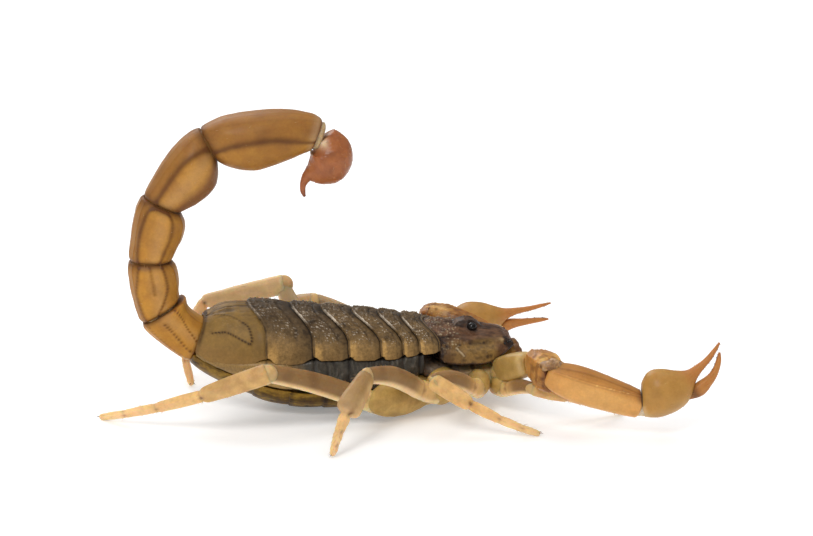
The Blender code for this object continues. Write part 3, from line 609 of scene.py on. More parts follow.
def cuticle(name, base, second, dark, light, warm, settings):
    """A scorpion's skin: two mottled colours, then the masks of the paint, on glossy fine-pored chitin."""
    get = {**CUTICLE, **settings}
    made = bpy.data.materials.new(name)
    made.use_nodes = True
    tree = made.node_tree
    where = add_node(tree, "ShaderNodeTexCoord")["Object"]
    blotch = {"Vector": where, "Scale": 1 / (get["mottle"] * MM), "Detail": 4.0, "Roughness": 0.6}
    blotch = add_node(tree, "ShaderNodeTexNoise", blotch)["Fac"]
    fine = {"Vector": where, "Scale": 1 / (3 * get["pores"] * MM), "Detail": 3.0, "Roughness": 0.7}
    fine = add_node(tree, "ShaderNodeTexNoise", fine)["Fac"]
    colour = mixed(tree, ranged(tree, blotch, 0.38, 0.62, 0.0, 1.0), base, second)
    masks = add_node(tree, "ShaderNodeAttribute", attribute_name="paint")["Color"]
    masks = add_node(tree, "ShaderNodeSeparateColor", {"Color": masks})
    for channel, paint in (("Blue", warm), ("Green", light), ("Red", dark)):
        colour = mixed(tree, masks[channel], colour, paint)
    least, most = 1 - get["grit"], 1 + get["grit"]
    gritty = {key: ranged(tree, fine, 0.3, 0.7, least, most) for key in ("Red", "Green", "Blue")}
    gritty = add_node(tree, "ShaderNodeCombineColor", gritty)[0]
    colour = mixed(tree, 1.0, colour, gritty, "MULTIPLY")
    pitted = {"Vector": where, "Scale": 1 / (get["pores"] * MM)}
    pitted = add_node(tree, "ShaderNodeTexVoronoi", pitted, feature="SMOOTH_F1")["Distance"]
    bump = {"Height": pitted, "Distance": get["relief"] * MM, "Strength": 0.8}
    bump = add_node(tree, "ShaderNodeBump", bump)[0]
    skin = {
        "Base Color": colour,
        "Roughness": ranged(tree, fine, 0.3, 0.7, *get["rough"]),
        "Normal": bump,
        "Subsurface Weight": get["flesh"],
        "Subsurface Radius": [1.0, 0.45, 0.15],
        "Subsurface Scale": get["depth"] * MM,
        "Specular IOR Level": get["gloss"],
        "Coat Weight": get["coat"],
        "Coat Roughness": 0.25,
    }
    fill(tree.nodes["Principled BSDF"], skin)


def finishes():
    for name, row in FINISHES.items():
        cuticle(name, *row)


# ---------------------------------------------------------------- trunk


def on_trunk(x, angle, inset=0.0):
    """Points of the trunk's surface: the angle runs from the back's midline down the right side."""
    half_width, back, belly = flow(x, TRUNK)
    c, s = rounded(angle, TRUNK_POWER)
    z = (back + belly) / 2 + ((back - belly) / 2 - inset) * c
    start, slope = TAIL_END_LEAN
    lean = slope * (np.maximum(0.0, start - x) / (start - TRUNK[0][0])) ** 2
    return np.stack([x - lean * (back - z), -(half_width - inset) * s, z], -1)


def swept(angle):
    """How far forward a plate's margin has swept here: 0 on the back's midline and 1 at the side."""
    return smooth(0, SWEEP_END, abs(angle))


def spread(x):
    """The angle from the back's midline down to the lower edge of the plates at x."""
    return np.radians(flow(x, TERGITE_SPREAD)[0])


def straight(share):
    return 0 * share


def scalloped(share):
    """How far a back plate's lower edge draws in at its corners."""
    return 0.055 * smooth(0.8, 1.0, share) + 0.04 * smooth(0.25, 0.0, share)


def plate_rings(front, rear, reach, width, lift, outer, lip=9, corner=straight):
    """Rings of a bent plate from one side to the other: back on its outer face, round the lip and forward.

    front and rear are its margins: x on the back, and how far forward it is at the sides. reach(x) gives the
    angles of its two sides, lift(share) how far the outer face stands off the trunk, and corner(share) the
    part by which the two sides draw in. Returns the points, the share of the way back, how much of the outer
    face a point is on, and the angles.
    """
    away = np.linspace(0, 1, outer)
    turn = np.linspace(0, math.pi, lip + 2)[1:-1]
    share = np.r_[away, np.ones(lip), away[::-1], np.zeros(lip)]
    depth = np.r_[np.zeros(outer), (1 - np.cos(turn)) / 2, np.ones(outer), (1 + np.cos(turn)) / 2]
    bulge = np.r_[np.zeros(outer), np.sin(turn), np.zeros(outer), np.sin(turn)]
    outside = np.r_[np.ones(outer), 1 - np.arange(lip) / lip, np.zeros(outer + lip)]
    across = np.linspace(-1, 1, width)[:, None]
    thick = PLATE_THICKNESS * (0.12 + 0.88 * np.sqrt(1 - abs(across) ** 16))

    def margins(angle):
        sweep = swept(angle)
        return front[0] + front[1] * sweep - GAP / 2, rear[0] + rear[1] * sweep + GAP / 2

    start, end = margins(math.pi)
    low, high = reach(start + (end - start) * share)
    angle = low + (high - low) * (0.5 + 0.5 * across * (1 - abs(across) ** 9 * corner(share)))
    start, end = margins(angle)
    round_lip = np.where(share > 0.5, -1, 1) * bulge * thick / 2 * 0.8
    x = start + (end - start) * share + round_lip
    points = on_trunk(x, angle, depth * thick - lift(share))
    return points, np.broadcast_to(share, x.shape), np.broadcast_to(outside, x.shape), angle


def tergite_reach(x):
    return -spread(x), spread(x)


def tergite_lift(share):
    return PLATE_LIFT * share - 0.02 + 0.1 * np.sin(math.pi * share) + 0.05 * smooth(0.9, 1, share)


def tergites():
    """The seven back plates, each with a lifted rear lip; the last one is smoother, with dark keels."""
    for k, (front, rear) in enumerate(zip(TERGITE_MARGINS, TERGITE_MARGINS[1:])):
        rings = plate_rings(front, rear, tergite_reach, 210, tergite_lift, 56, corner=scalloped)
        points, share, outside, angle = rings
        angle = np.degrees(angle)
        around = abs(angle)
        upper = 1 - smooth(48, 66, around)
        low = smooth(42, 72, around)
        fine = grains(points, 0.2, 20 + k, 0.7)
        swell = noise(points, (0.5, 1.1, 1.1), k)
        # painted shade on each plate's front edge, where the plate ahead overhangs it
        painted_lip_shade = 0.8 * smooth(0.06, 0.0, share) + 0.2 * smooth(0.25, 0.05, share)
        # painted glints: light specks on the grains of the plates' upper part
        painted_glint = upper * smooth(0.42, 0.75, fine) * smooth(-0.5, 0.25, noise(points, 0.6, 81 + k))
        painted_glint = painted_glint * smooth(0.12, 0.45, share)
        if k < 6:
            rough = rough_plate(k, points, share, angle, upper, low, fine, swell, painted_lip_shade)
            raised, dark, light, ochre = rough
            light = light + 0.65 * painted_glint
        else:
            raised, dark, ochre = last_plate(points, share, around, upper, fine, swell, painted_lip_shade)
            light = 0.65 * (0.35 * painted_glint)
        tan = 0.44 * low * (1 - painted_lip_shade) * (0.55 + 0.45 * smooth(0.1, 0.7, share)) + 0.14 * (k < 4)
        paint = (dark * outside * (1 - 0.6 * ochre), light * outside, ochre + tan)
        finish = "back_plate" if k < 6 else "last_plate"
        name = f"tergite_{k + 1}"
        surface(f"{name}_plate", finish, points, raised * outside, paint, name)


# The middle of the ochre spot at each plate's rear corner: (x, degrees from the midline)
OCHRE_SPOTS = ((-16.7, 90), (-10.3, 82), (-6.0, 74.5), (-2.1, 68.5), (1.0, 64), (3.4, 65), (5.5, 66))


def rough_plate(k, points, share, angle, upper, low, fine, swell, painted_lip_shade):
    """(relief, dark, light, ochre) of the first six back plates: a rough rear half and beaded keels, painted
    shade from the plate ahead, and a pale lip that is partly a painted highlight.
    """
    around = abs(angle)
    rough = smooth(0.12, 0.45, share)
    coarse = grains(points, 0.34, 40 + k, 0.45)
    beads = grains(points, 0.42, 60 + k)
    keel = (
        0.7 * hump(angle, 0, 2.6) * smooth(0.1, 0.4, share)
        + 0.9 * hump(around - 12 * (share - 0.5), 30, 3.0) * smooth(0.3, 0.6, share)
        + 0.6 * hump(around - 12 * (share - 0.5), 47, 3.0) * smooth(0.45, 0.7, share)
    )
    fold = hump(share, 0.3 + 0.1 * noise(points, 2.5, 70 + k), 0.05) * (0.25 + 0.75 * upper)
    raised = (
        0.05 * fine * (0.3 + rough) * (0.25 + 0.75 * upper)
        + 0.09 * coarse * rough * (0.1 + 0.9 * upper)
        + 0.04 * swell + keel * (0.05 + 0.11 * beads) - 0.08 * fold - 0.1 * upper
    )
    (spot,) = flow(points[..., 0], OCHRE_SPOTS)
    ochre = hump(around, spot, 9) * smooth(0.72, 0.9, share) * smooth(1.0, 0.97, share)
    # a pale rear lip: partly the plate's own pale rim and partly a painted highlight on its upper part
    pale_lip_and_highlight = smooth(0.965, 0.985, share) * smooth(4, 12, around) * (1 - smooth(26, 40, around))
    pale_lip_and_highlight = pale_lip_and_highlight * (0.3 if k == 5 else 1.0)
    blotch = smooth(-0.2, 0.5, noise(points, 0.24, 9 + k))
    blotch = blotch * smooth(-0.6, 0.4, noise(points, 0.9, 19 + k))
    # dark holds painted shade under the plate ahead, fading back from the front edge, and a painted shadow
    # along the lower rear margin below the pale lip
    dark = (
        painted_lip_shade + 0.45 * (1 - low) * blotch + 0.3 * keel * (1 - beads) + 0.15 * low * blotch
        + 0.3 * fold + 0.3 * smooth(24, 10, around)
        + 0.45 * smooth(0.985, 1.0, share) * smooth(40, 55, around)
        + 0.15 * low * smooth(0.1, 0.6, noise(points, 0.8, 5 + k))
        + 0.12 * smooth(0.45, 0.05, share)
    )
    return raised, dark, 0.85 * pale_lip_and_highlight, ochre


# The last plate's keels: strength, then points of (x, degrees from the midline)
LAST_KEELS = (
    (1.0, ((-15.9, 65), (-15.2, 63), (-14.5, 62), (-13.3, 68), (-12.3, 73))),
    (1.0, ((-12.9, 45), (-12.45, 50), (-12.25, 56), (-12.15, 62), (-12.1, 67), (-12.3, 73))),
    (0.55, ((-15.6, 26), (-14.2, 33), (-12.9, 45))),
)
GIRTH = 0.08  # millimetres round the trunk for each degree


def last_plate(points, share, around, upper, fine, swell, painted_lip_shade):
    """(relief, dark, ochre) of the last back plate, with dark beaded lines on its flanks."""
    keel = 0.0
    for strength, line in LAST_KEELS:
        path = [(x, angle * GIRTH) for x, angle in line]
        away, place = from_path(points[..., 0], around * GIRTH, path)
        beads = np.cos(place * 2 * math.pi / 0.3 + 2 * noise(points, 0.8, 77))
        beads = 0.45 + 0.55 * smooth(-0.4, 0.5, beads)
        keel = np.maximum(keel, strength * hump(away, 0, 0.13) * beads)
    furrows = smooth(-0.3, 0.6, noise(points, (1.6, 0.22, 0.22), 3))
    raised = 0.02 * fine * (0.4 + upper) + 0.04 * swell + keel * 0.1 - 0.08 * upper
    raised = raised - 0.05 * smooth(40, 24, around) * furrows
    dark = 1.1 * keel + 0.3 * painted_lip_shade + 0.6 * smooth(44, 22, around) * furrows
    dark = dark + 0.15 * smooth(0.1, 0.6, noise(points, 1.0, 4)) + 0.7 * smooth(0.95, 1.0, share)
    return raised, dark, 0.75 * smooth(80, 94, around)


def sternite_reach(x):
    return STERNITE_START + 0 * x, 2 * math.pi - STERNITE_START + 0 * x


def sternite_lift(share):
    return 0.1 * share + 0.06 * np.sin(math.pi * share)


def sternites():
    """The five belly plates: smooth and glossy, the first four with a pair of small breathing slits."""
    for k, (front, rear) in enumerate(zip(STERNITE_MARGINS, STERNITE_MARGINS[1:])):
        rings = plate_rings((front, 0), (rear, 0), sternite_reach, 110, sternite_lift, 26, 7)
        points, share, outside, angle = rings
        across = abs(np.degrees(angle) - 180)
        slit = hump(across, 34, 5) * hump(share, 0.5, 0.06) * (k < 4)
        raised = 0.015 * noise(points, 0.8, 80 + k) - 0.08 * slit
        edge = smooth(0.86, 0.97, share) + 0.8 * smooth(0.14, 0.0, share)
        streaks = smooth(-0.1, 0.5, noise(points, (3.0, 0.28, 0.28), 90))
        dark = 0.4 * edge + 0.7 * slit + 0.6 * streaks
        paint = (dark * outside, 0, 0.5 * smooth(48, 60, across))
        name = f"sternite_{k + 3}"
        surface(f"{name}_plate", "belly_plate", points, raised * outside, paint, name)


def soft_body():
    """The wrinkled skin between the rows of plates, which bulges out along both flanks."""
    x = np.linspace(4.9, -16.9, 240)[:, None]
    from_back = math.pi / 2 - turns(224)
    down = abs(np.arctan2(np.sin(from_back), np.cos(from_back)))
    below, bottom = PLEURA_BULGE
    top = spread(x) + below
    soft = math.radians(3)
    bare = smooth(-soft, soft, down - top) * smooth(bottom + soft, bottom - soft, down)
    hidden, shown = PLATE_THICKNESS + GAP, 0.05
    x, from_back = np.broadcast_arrays(x, from_back)
    points = on_trunk(x, from_back, hidden + (shown - hidden) * bare)
    wander = points + 0.25 * noise(points, (0.8, 1.0, 0.8), 3)[..., None]
    fold = 1 - 2 * abs(noise(wander, (0.34, 2.2, 2.0), 4)) ** 0.6
    pucker = noise(points, (0.22, 0.5, 0.45), 5)
    crease = sum(hump(points[..., 0], rear + bow, 0.13) for rear, bow in TERGITE_MARGINS[1:-1])
    rearward = smooth(-6.5, -9.5, points[..., 0])
    raised = 0.07 * fold + 0.05 * pucker + 0.02 * grains(points, 0.16, 7) - 0.16 * crease
    raised = (raised * (1 - 0.7 * rearward) + 0.32 * rearward) * bare
    streak = hump(down, top + math.radians(7), math.radians(6)) * rearward
    # painted shade in the creases under the plates' margins and in the fold troughs; painted highlights on
    # the tops of the puckered folds
    dark = 0.5 * crease + 0.55 * smooth(0.3, -0.5, fold) * (1 - rearward) + 0.35 * streak
    light = 0.4 * smooth(0.35, 0.8, pucker) * smooth(0.0, 0.5, fold) * bare * (1 - rearward)
    joint, way = tail_joint(0)
    planes = ((joint - way * GAP / 2, way),)
    surface("soft_body", "soft_skin", points, raised, (dark, light, rearward), "pleura", planes)


# ---------------------------------------------------------------- head

HEAD_XS = (5.27, 14.2)
LATERAL_EYES = (  # x, y, z, radius
    (13.85, 2.2, 6.76, 0.13),
    (13.6, 2.45, 6.76, 0.14),
    (13.25, 2.75, 6.74, 0.12),
)


def head_rings():
    """The head shield's rings, whose rear margin sweeps forward at the sides as the back plates' do."""
    x = HEAD_XS[0] + (HEAD_XS[1] - HEAD_XS[0]) * stops(210, 0.4)
    half_width, top, rim_z = flow(x, CARAPACE)
    centre = np.stack([x, 0 * x, rim_z + 0.3], -1)
    points = loft(centre, -LEFT, UP, half_width, top - rim_z - 0.3, 0.3 + 0 * x, 2.3, 300)
    sweep = TERGITE_MARGINS[0][1] * np.maximum(0, 1 - (x - x[0]) / 3) ** 2
    sideways = np.arcsin(np.clip(points[..., 1] / half_width[:, None], -1, 1))
    points[..., 0] += sweep[:, None] * swept(sideways)
    return points


def blob(hx, hy, hz, middle, sizes):
    """1 at the middle of a soft spot, and 0 well outside it."""
    away = np.stack([hx, hy, hz], -1) - middle
    return np.exp(-((away / sizes) ** 2).sum(-1))


def head():
    """The head shield: its tubercle, crests, furrows and rubble, and the marks of its sides and corners."""
    points = head_rings()
    hx, hy, hz = points[..., 0], abs(points[..., 1]), points[..., 2]
    half_width, _, rim_z = flow(hx, CARAPACE)
    long, wide, rise = TUBERCLE_SIZE
    upper = smooth(6.2, 7.0, hz)
    # the hill under the eyes, the moat beside it and the sockets
    eye = TUBERCLE + EYE_OFFSET + EYE_SHIFT
    socket = np.linalg.norm(np.stack([hx, hy, hz], -1) - eye, axis=-1)
    hill = hump(hx, TUBERCLE[0] - 0.25, long * np.where(hx < 9.55, 0.75, 1.15))
    hill = hill * smooth(2.1 * wide, 0.9 * wide, hy)
    moat = hump(hy, 1.95, 0.6) * hump(hx, TUBERCLE[0] + 0.2, 1.2)
    # the crease round the base of the hill: sunk a little and painted darker, a painted shade
    shaded_hill_crease = hump(hill, 0.28, 0.13) * smooth(7.3, 7.6, hz)
    # the crests and furrows
    saddle = hump(hx, 7.9, 0.6) * hump(hy, 0, 1.6)
    crest = hump(hy, 0.8, 0.35) * smooth(5.5, 5.9, hx) * smooth(9.0, 8.5, hx)
    furrow = smooth(8.6, 8.2, hx) + smooth(11.2, 11.8, hx) * smooth(13.9, 13.3, hx)
    furrow = hump(hy, 0, 0.15) * furrow
    side_run = smooth(5.3, 5.7, hx) * smooth(9.0, 8.4, hx)
    side_crest = hump(hy + 0.1 * (hx - 6.3), 3.0, 0.24) * side_run
    # the line beneath the side crest: a shallow groove, painted dark as the crest's shadow
    crest_shadow_line = hump(hy + 0.1 * (hx - 6.3), 3.4, 0.14) * side_run
    across = hump(from_path(hx, hy, ((6.5, 3.2), (6.75, 3.6), (7.3, 4.15)))[0], 0, 0.13) * upper
    streak = hump(hz + 0.08 * (hx - 10.5), 7.22, 0.24) * smooth(9.3, 9.8, hx) * smooth(12.2, 11.4, hx)
    slit = from_path(hx, hz, ((8.3, 6.95), (8.55, 6.6), (8.95, 6.1)))[0] + 9 * (hy < 3)
    # the front corners, each with an ochre spot
    corner = blob(hx, hy, hz, (13.75, 2.4, 7.05), (0.75, 1.0, 1.0))
    ochre = blob(hx, hy, hz, (13.1, 2.7, 7.25), (0.42, 0.5, 0.4))
    front = smooth(9.9, 11.0, hx) * smooth(6.9, 7.5, hz)
    # grains and patches
    fine = grains(points, 0.17, 101, 0.7)
    coarse = grains(points, 0.36, 103, 0.5)
    rubble = grains(points, 0.32, 111, 0.85) * smooth(9.2, 8.4, hx) * upper
    speck = grains(points, 0.5, 107, 0.45)
    swell = noise(points, 0.8, 104)
    hair = noise(points, (1.3, 0.2, 0.2), 106)
    patches = smooth(0.0, 0.45, noise(points, (0.5, 0.3, 0.3), 110))
    cheek = smooth(7.9, 7.1, hz + 0.25 * swell) * smooth(12.9, 11.9, hx)
    low_rear = smooth(8.4, 7.2, hx) * smooth(8.0, 7.4, hz)
    edge = smooth(0.5, 0.2, hz - rim_z) * smooth(0.3, 0.6, hy / half_width)
    rear_x, rear_bow = TERGITE_MARGINS[0]
    behind = hx - rear_x - rear_bow * swept(np.arcsin(np.clip(hy / half_width, 0, 1)))

    raised = (
        (0.03 * fine + 0.07 * coarse) * smooth(0.45, 0.8, socket) * (1 - 0.85 * front)
        + 0.03 * swell - 0.06 * upper
        + 0.07 * rubble + (rise + 0.17) * hill * upper - 0.3 * moat * upper
        - 0.26 * upper * smooth(13.4, 11.8, hx)
        - 0.08 * saddle * upper + (crest + side_crest) * (0.05 + 0.15 * coarse)
        - 0.08 * (furrow + crest_shadow_line + across) * upper - 0.06 * streak + 0.02 * hair * front
        + 0.12 * corner + 0.07 * ochre
        - 0.06 * hump(slit, 0.14, 0.1) + 0.06 * hump(slit, 0, 0.11)
        + 0.09 * hump(socket, EYE_RADIUS + 0.12, 0.09) - 0.32 * smooth(EYE_RADIUS, 0.1, socket)
        - 0.18 * shaded_hill_crease
    )

    dark = (
        edge + 0.95 * smooth(0.3, 0.6, corner) * (1 - smooth(0.35, 0.7, ochre))
        + 0.85 * hump(socket, 0.5, 0.16)
        + 0.6 * (furrow + crest_shadow_line) * upper + 0.35 * across * upper
        + 0.55 * streak + 0.5 * speck * cheek
        + 0.45 * smooth(0.3, 0.7, hill) * upper + 0.5 * shaded_hill_crease
        + 0.3 * low_rear + 0.35 * patches * cheek * (1 - streak)
        + 0.5 * smooth(0.0, 0.5, noise(points, (0.7, 0.3, 0.3), 109)) * smooth(7.0, 7.8, hz)
        # the first term here is a painted shadow beside the slit
        + 0.3 * hump(slit, 0.17, 0.08) + 0.35 * smooth(0.0, 0.6, hair) * front
        + 0.5 * smooth(0.5, 0.2, behind)
    )

    light = (
        0.5 * hump(slit, 0, 0.09) + (0.5 * crest + 0.7 * side_crest) * smooth(0.2, 0.6, coarse)
        # the second term here is painted glints on the coarse grains of the lower rear flank
        + 0.42 * smooth(0.35, 0.8, rubble) + 0.22 * smooth(0.5, 0.8, coarse) * low_rear
        + 0.22 * smooth(0.3, 0.8, ochre)
    )
    warm = 0.2 * smooth(0.1, 0.4, rubble) + 0.6 * cheek * (1 - edge) * (1 - 0.5 * low_rear)
    warm = warm + 0.2 * cheek * smooth(8.5, 10.0, hx) + ochre
    surface("carapace_shield", "head_shield", points, raised, (dark, light, warm), "carapace")


def dome(centre, radius, bulge=1.0, steps=22, around=32):
    """Rings of a lens: a ball whose top half is drawn out by the bulge."""
    polar = np.linspace(0.06, math.pi - 0.06, steps)
    turn = turns(around)
    ring = np.sin(polar)[:, None, None] * np.stack([np.cos(turn), np.sin(turn), 0 * turn], -1)
    height = np.cos(polar) * np.where(polar < math.pi / 2, bulge, 1.0)
    return centre + radius * (ring + height[:, None, None] * UP)


def eyes():
    """Two large eyes on the tubercle, and three small ones on each front corner of the shield."""
    for side, hand in SIDES:
        centre = TUBERCLE + (EYE_OFFSET + EYE_SHIFT) * (1, hand, 1)
        facing = unit(np.array((0.2, 0.9 * hand, 0.4)))
        sideways = unit(np.cross(facing, UP))
        axes = np.stack([sideways, np.cross(facing, sideways), facing])
        points = centre + dome(np.zeros(3), EYE_RADIUS * 1.2, 1.12) @ axes
        surface(f"eye_median_{side}_lens", "eye_lens", points, nodes=f"eye_median_{side}")
        for k, (x, y, z, radius) in enumerate(LATERAL_EYES):
            points = dome(np.array((x, y * hand, z)), radius, steps=12, around=18)
            surface(f"eye_lateral_{side}_{k + 1}", "eye_lens", points)


def chelicerae():
    """The jaws: a smooth bulb each, with a pair of hooked dark-tipped fingers."""
    for side, hand in SIDES:
        x = CHELICERA[0][0] + (CHELICERA[-1][0] - CHELICERA[0][0]) * stops(60)
        z, reach = flow(x, CHELICERA)
        centre = np.stack([x, CHELICERA_Y * hand + 0 * x, z], -1)
        points = loft(centre, -LEFT, UP, reach, reach, reach, 2.1, 60)
        raised = 0.02 * grains(points, 0.25, 120) + 0.015 * noise(points, 0.5, 121)
        dark = 0.8 * smooth(14.3, 14.9, points[..., 0] + 0.6 * (points[..., 2] - 5.2))
        dark = dark + 0.2 * noise(points, 0.35, 122)
        name = f"chelicera_{side}"
        surface(f"{name}_base", "hand_shell", points, raised, (dark,), name)
        t = np.linspace(0, 1, 9)
        fingers = []
        for low, drop in ((0.05, 0.75), (-0.35, 0.25)):
            root = np.array((14.95, CHELICERA_Y * hand + 0.25 * hand, 5.1 + low))
            fingers.append(root + np.stack([0.5 * t, -0.3 * hand * t**2, -drop * t**1.6], -1))
        radii = np.tile(0.2 * (1 - 0.8 * t**1.5), (2, 1))
        rods(f"{name}_fingers", "claw", fingers, radii, 10, dark=smooth(0.3, 0.9, t))


# ---------------------------------------------------------------- underside

# The soft bases of the pincers' arms on each side: the middle and the three radii
MAXILLARY_LOBES = ((11.4, 2.3, 3.3, 1.9, 1.4, 1.3), (13.0, 3.3, 3.9, 1.3, 1.3, 1.1))


def prosoma():
    """The flesh between the head shield and the leg bases."""
    x = PROSOMA_XS[0] + (PROSOMA_XS[1] - PROSOMA_XS[0]) * stops(90)
    half_width, _, rim_z = flow(x, CARAPACE)
    middle_z = (rim_z - GAP + PROSOMA_LOW) / 2
    reach = rim_z - GAP - middle_z
    centre = np.stack([x, 0 * x, middle_z], -1)
    points = loft(centre, -LEFT, UP, half_width - PROSOMA_INSET, reach, reach, 2.4, 150)
    raised = 0.06 * noise(points, (0.5, 0.9, 0.5), 131) + 0.03 * grains(points, 0.25, 132)
    dark = 0.85 * smooth(0.15, 0.45, noise(points, 0.55, 133)) * smooth(11.5, 9.5, points[..., 0])
    light = 0.75 * smooth(8.2, 10.8, points[..., 0])
    surface("prosoma_skin", "under_skin", points, raised, (dark, light), "prosoma")


def belly_plates():
    """The breastbone and the genital plate, each with a groove along its middle."""
    for name, (front, rear, z, wide, tall) in (("sternum", STERNUM), ("genital_plate", GENITAL_PLATE)):
        t = stops(50)
        x = front + (rear - front) * t
        narrow = 1 - 0.35 * smooth(0.6, 1, 1 - t) if name == "sternum" else 1.0
        shrink = rim(t, abs(rear - front), 0.3, 0.5)
        wide, tall = wide * shrink * narrow, tall * shrink
        points = loft(np.stack([x, 0 * x, z + 0 * x], -1), -LEFT, UP, wide, tall, tall, 2.8, 60)
        groove = hump(points[..., 1], 0, 0.09) * (points[..., 2] < z)
        raised = -0.1 * groove + 0.01 * noise(points, 0.4, 134)
        surface(f"{name}_shell", "belly_plate", points, raised, (0.7 * groove,), name)


def maxillary_lobes():
    for side, hand in SIDES:
        for k, (x, y, z, *radii) in enumerate(MAXILLARY_LOBES):
            points = ball(np.array((x, y * hand, z)), np.eye(3), radii, 40, 60)
            raised = 0.04 * noise(points, 0.6, 135 + k)
            dark = 0.3 * smooth(0.1, 0.6, noise(points, 0.6, 137 + k))
            surface(f"pedipalp_{side}_coxa_{k + 1}", "leg_shell", points, raised, (dark, 0, 0.25))


def combs():
    """The two combs, each a lobed shaft with a row of soft teeth."""
    for side, hand in SIDES:
        start, end = (np.array((p[0], p[1] * hand, p[2])) for p in PECTEN)
        way = unit(end - start)
        across = unit(np.cross(way, UP))
        up = np.cross(across, way)
        t = stops(80)
        (reach,) = flow(t, PECTEN_STAGES)
        thick = PECTEN_HALF_THICKNESS * rim(t, 5.8, 0.4, 0.3)
        back = across if across[0] < 0 else -across
        centre = start + (end - start) * t[:, None] - back * 0.3
        points = loft(centre, across, up, reach * 0.6, thick, thick, 2.4, 60)
        lobes = abs(np.sin(t * math.pi * 7))[:, None]
        raised = 0.03 * lobes + 0.01 * noise(points, 0.3, 141)
        name = f"pecten_{side}"
        surface(f"{name}_shaft", "belly_plate", points, raised, (0.4 * (1 - lobes),), name)
        teeth = np.linspace(0.06, 0.95, 22)
        step = np.linspace(0, 1, 7)
        (root_reach,) = flow(teeth, PECTEN_STAGES)
        roots = start + (end - start) * teeth[:, None] + back * (root_reach * 0.25)[:, None]
        out = back + way * 0.15 * hand
        paths = roots[:, None] + out * (step * 0.85)[None, :, None] - UP * (0.12 * step**2)[None, :, None]
        radii = np.tile(0.125 * np.sqrt(1 - (step * 0.97) ** 6), (len(teeth), 1))
        rods(f"{name}_teeth", "joint_skin", paths, radii, 10)


# ---------------------------------------------------------------- tail


def tail_joint(k):
    """(centre, crease direction) of the joint before segment k, whose plane halves the bend there."""
    joints = [np.array((x, 0, z)) for x, z in TAIL_JOINTS]
    before = unit(joints[k] - joints[k - 1]) if k else np.array((-1.0, 0, 0))
    after = unit((joints + [np.array(VESICLE_PATH[1])])[k + 1] - joints[k])
    return joints[k], unit(before + after)


# The keels on the flanks of each segment: strength, then points of (share of the length, height across the
# flank, from -1 outside the curl to 1 inside)
FLANK_KEELS = (
    (
        (1.0, ((0.04, -0.5), (0.2, -0.45), (0.37, -0.34), (0.61, -0.22), (0.86, -0.13))),
        (1.0, ((0.02, -0.03), (0.15, 0.09), (0.4, 0.33), (0.62, 0.52), (0.93, 0.53))),
        (0.6, ((0.05, -0.85), (0.5, -0.82), (0.95, -0.72))),
    ),
    (
        (0.9, ((0.05, -0.7), (0.32, -0.75), (0.54, -0.75), (0.75, -0.63), (0.96, -0.55))),
        (0.6, ((0.45, -0.06), (0.7, -0.06), (0.94, -0.08))),
        (1.0, ((0.05, -0.08), (0.26, 0.28), (0.49, 0.47), (0.71, 0.49), (0.96, 0.46))),
    ),
    (
        (1.0, (
            (0.05, -0.6), (0.24, -0.66), (0.49, -0.67), (0.71, -0.62), (0.88, -0.54), (0.955, -0.3),
            (0.965, 0.0), (0.95, 0.28), (0.85, 0.45), (0.61, 0.48), (0.35, 0.45), (0.05, 0.38),
        )),
    ),
    (
        (1.1, (
            (0.02, -0.4), (0.14, -0.44), (0.42, -0.48), (0.59, -0.49),
            (0.75, -0.43), (0.88, -0.31), (0.99, -0.08),
        )),
    ),
    (
        (1.1, (
            (0.0, 0.2), (0.06, 0.07), (0.19, -0.09), (0.37, -0.17),
            (0.55, -0.19), (0.73, -0.11), (0.98, 0.16),
        )),
    ),
)
BEAD_SPACING = 0.34  # along a flank keel
# The straight keels, as degrees round a segment: on each side, one on its inside and two on its outside
STRAIGHT_KEELS = (58, -52, -76)
# For each segment: how far a keel rises, the part of it that is beads, its width, the brown of the face
# outside its first keel and of its inner edge, its own brown, and the width of the dark bands at its ends
TAIL_MARKS = (
    (0.09, 0.75, 0.13, 0.0, 0.1, 0.0, 0.3, 0.28),
    (0.1, 0.22, 0.16, 0.4, 0.15, 0.05, 0.3, 0.42),
    (0.09, 0.06, 0.2, 0.55, 0.3, 0.05, 0.4, 0.5),
    (0.08, 0.0, 0.28, 0.45, 0.9, 0.25, 0.45, 0.55),
    (0.07, 0.0, 0.26, 0.3, 0.15, 0.4, 0.55, 0.25),
)


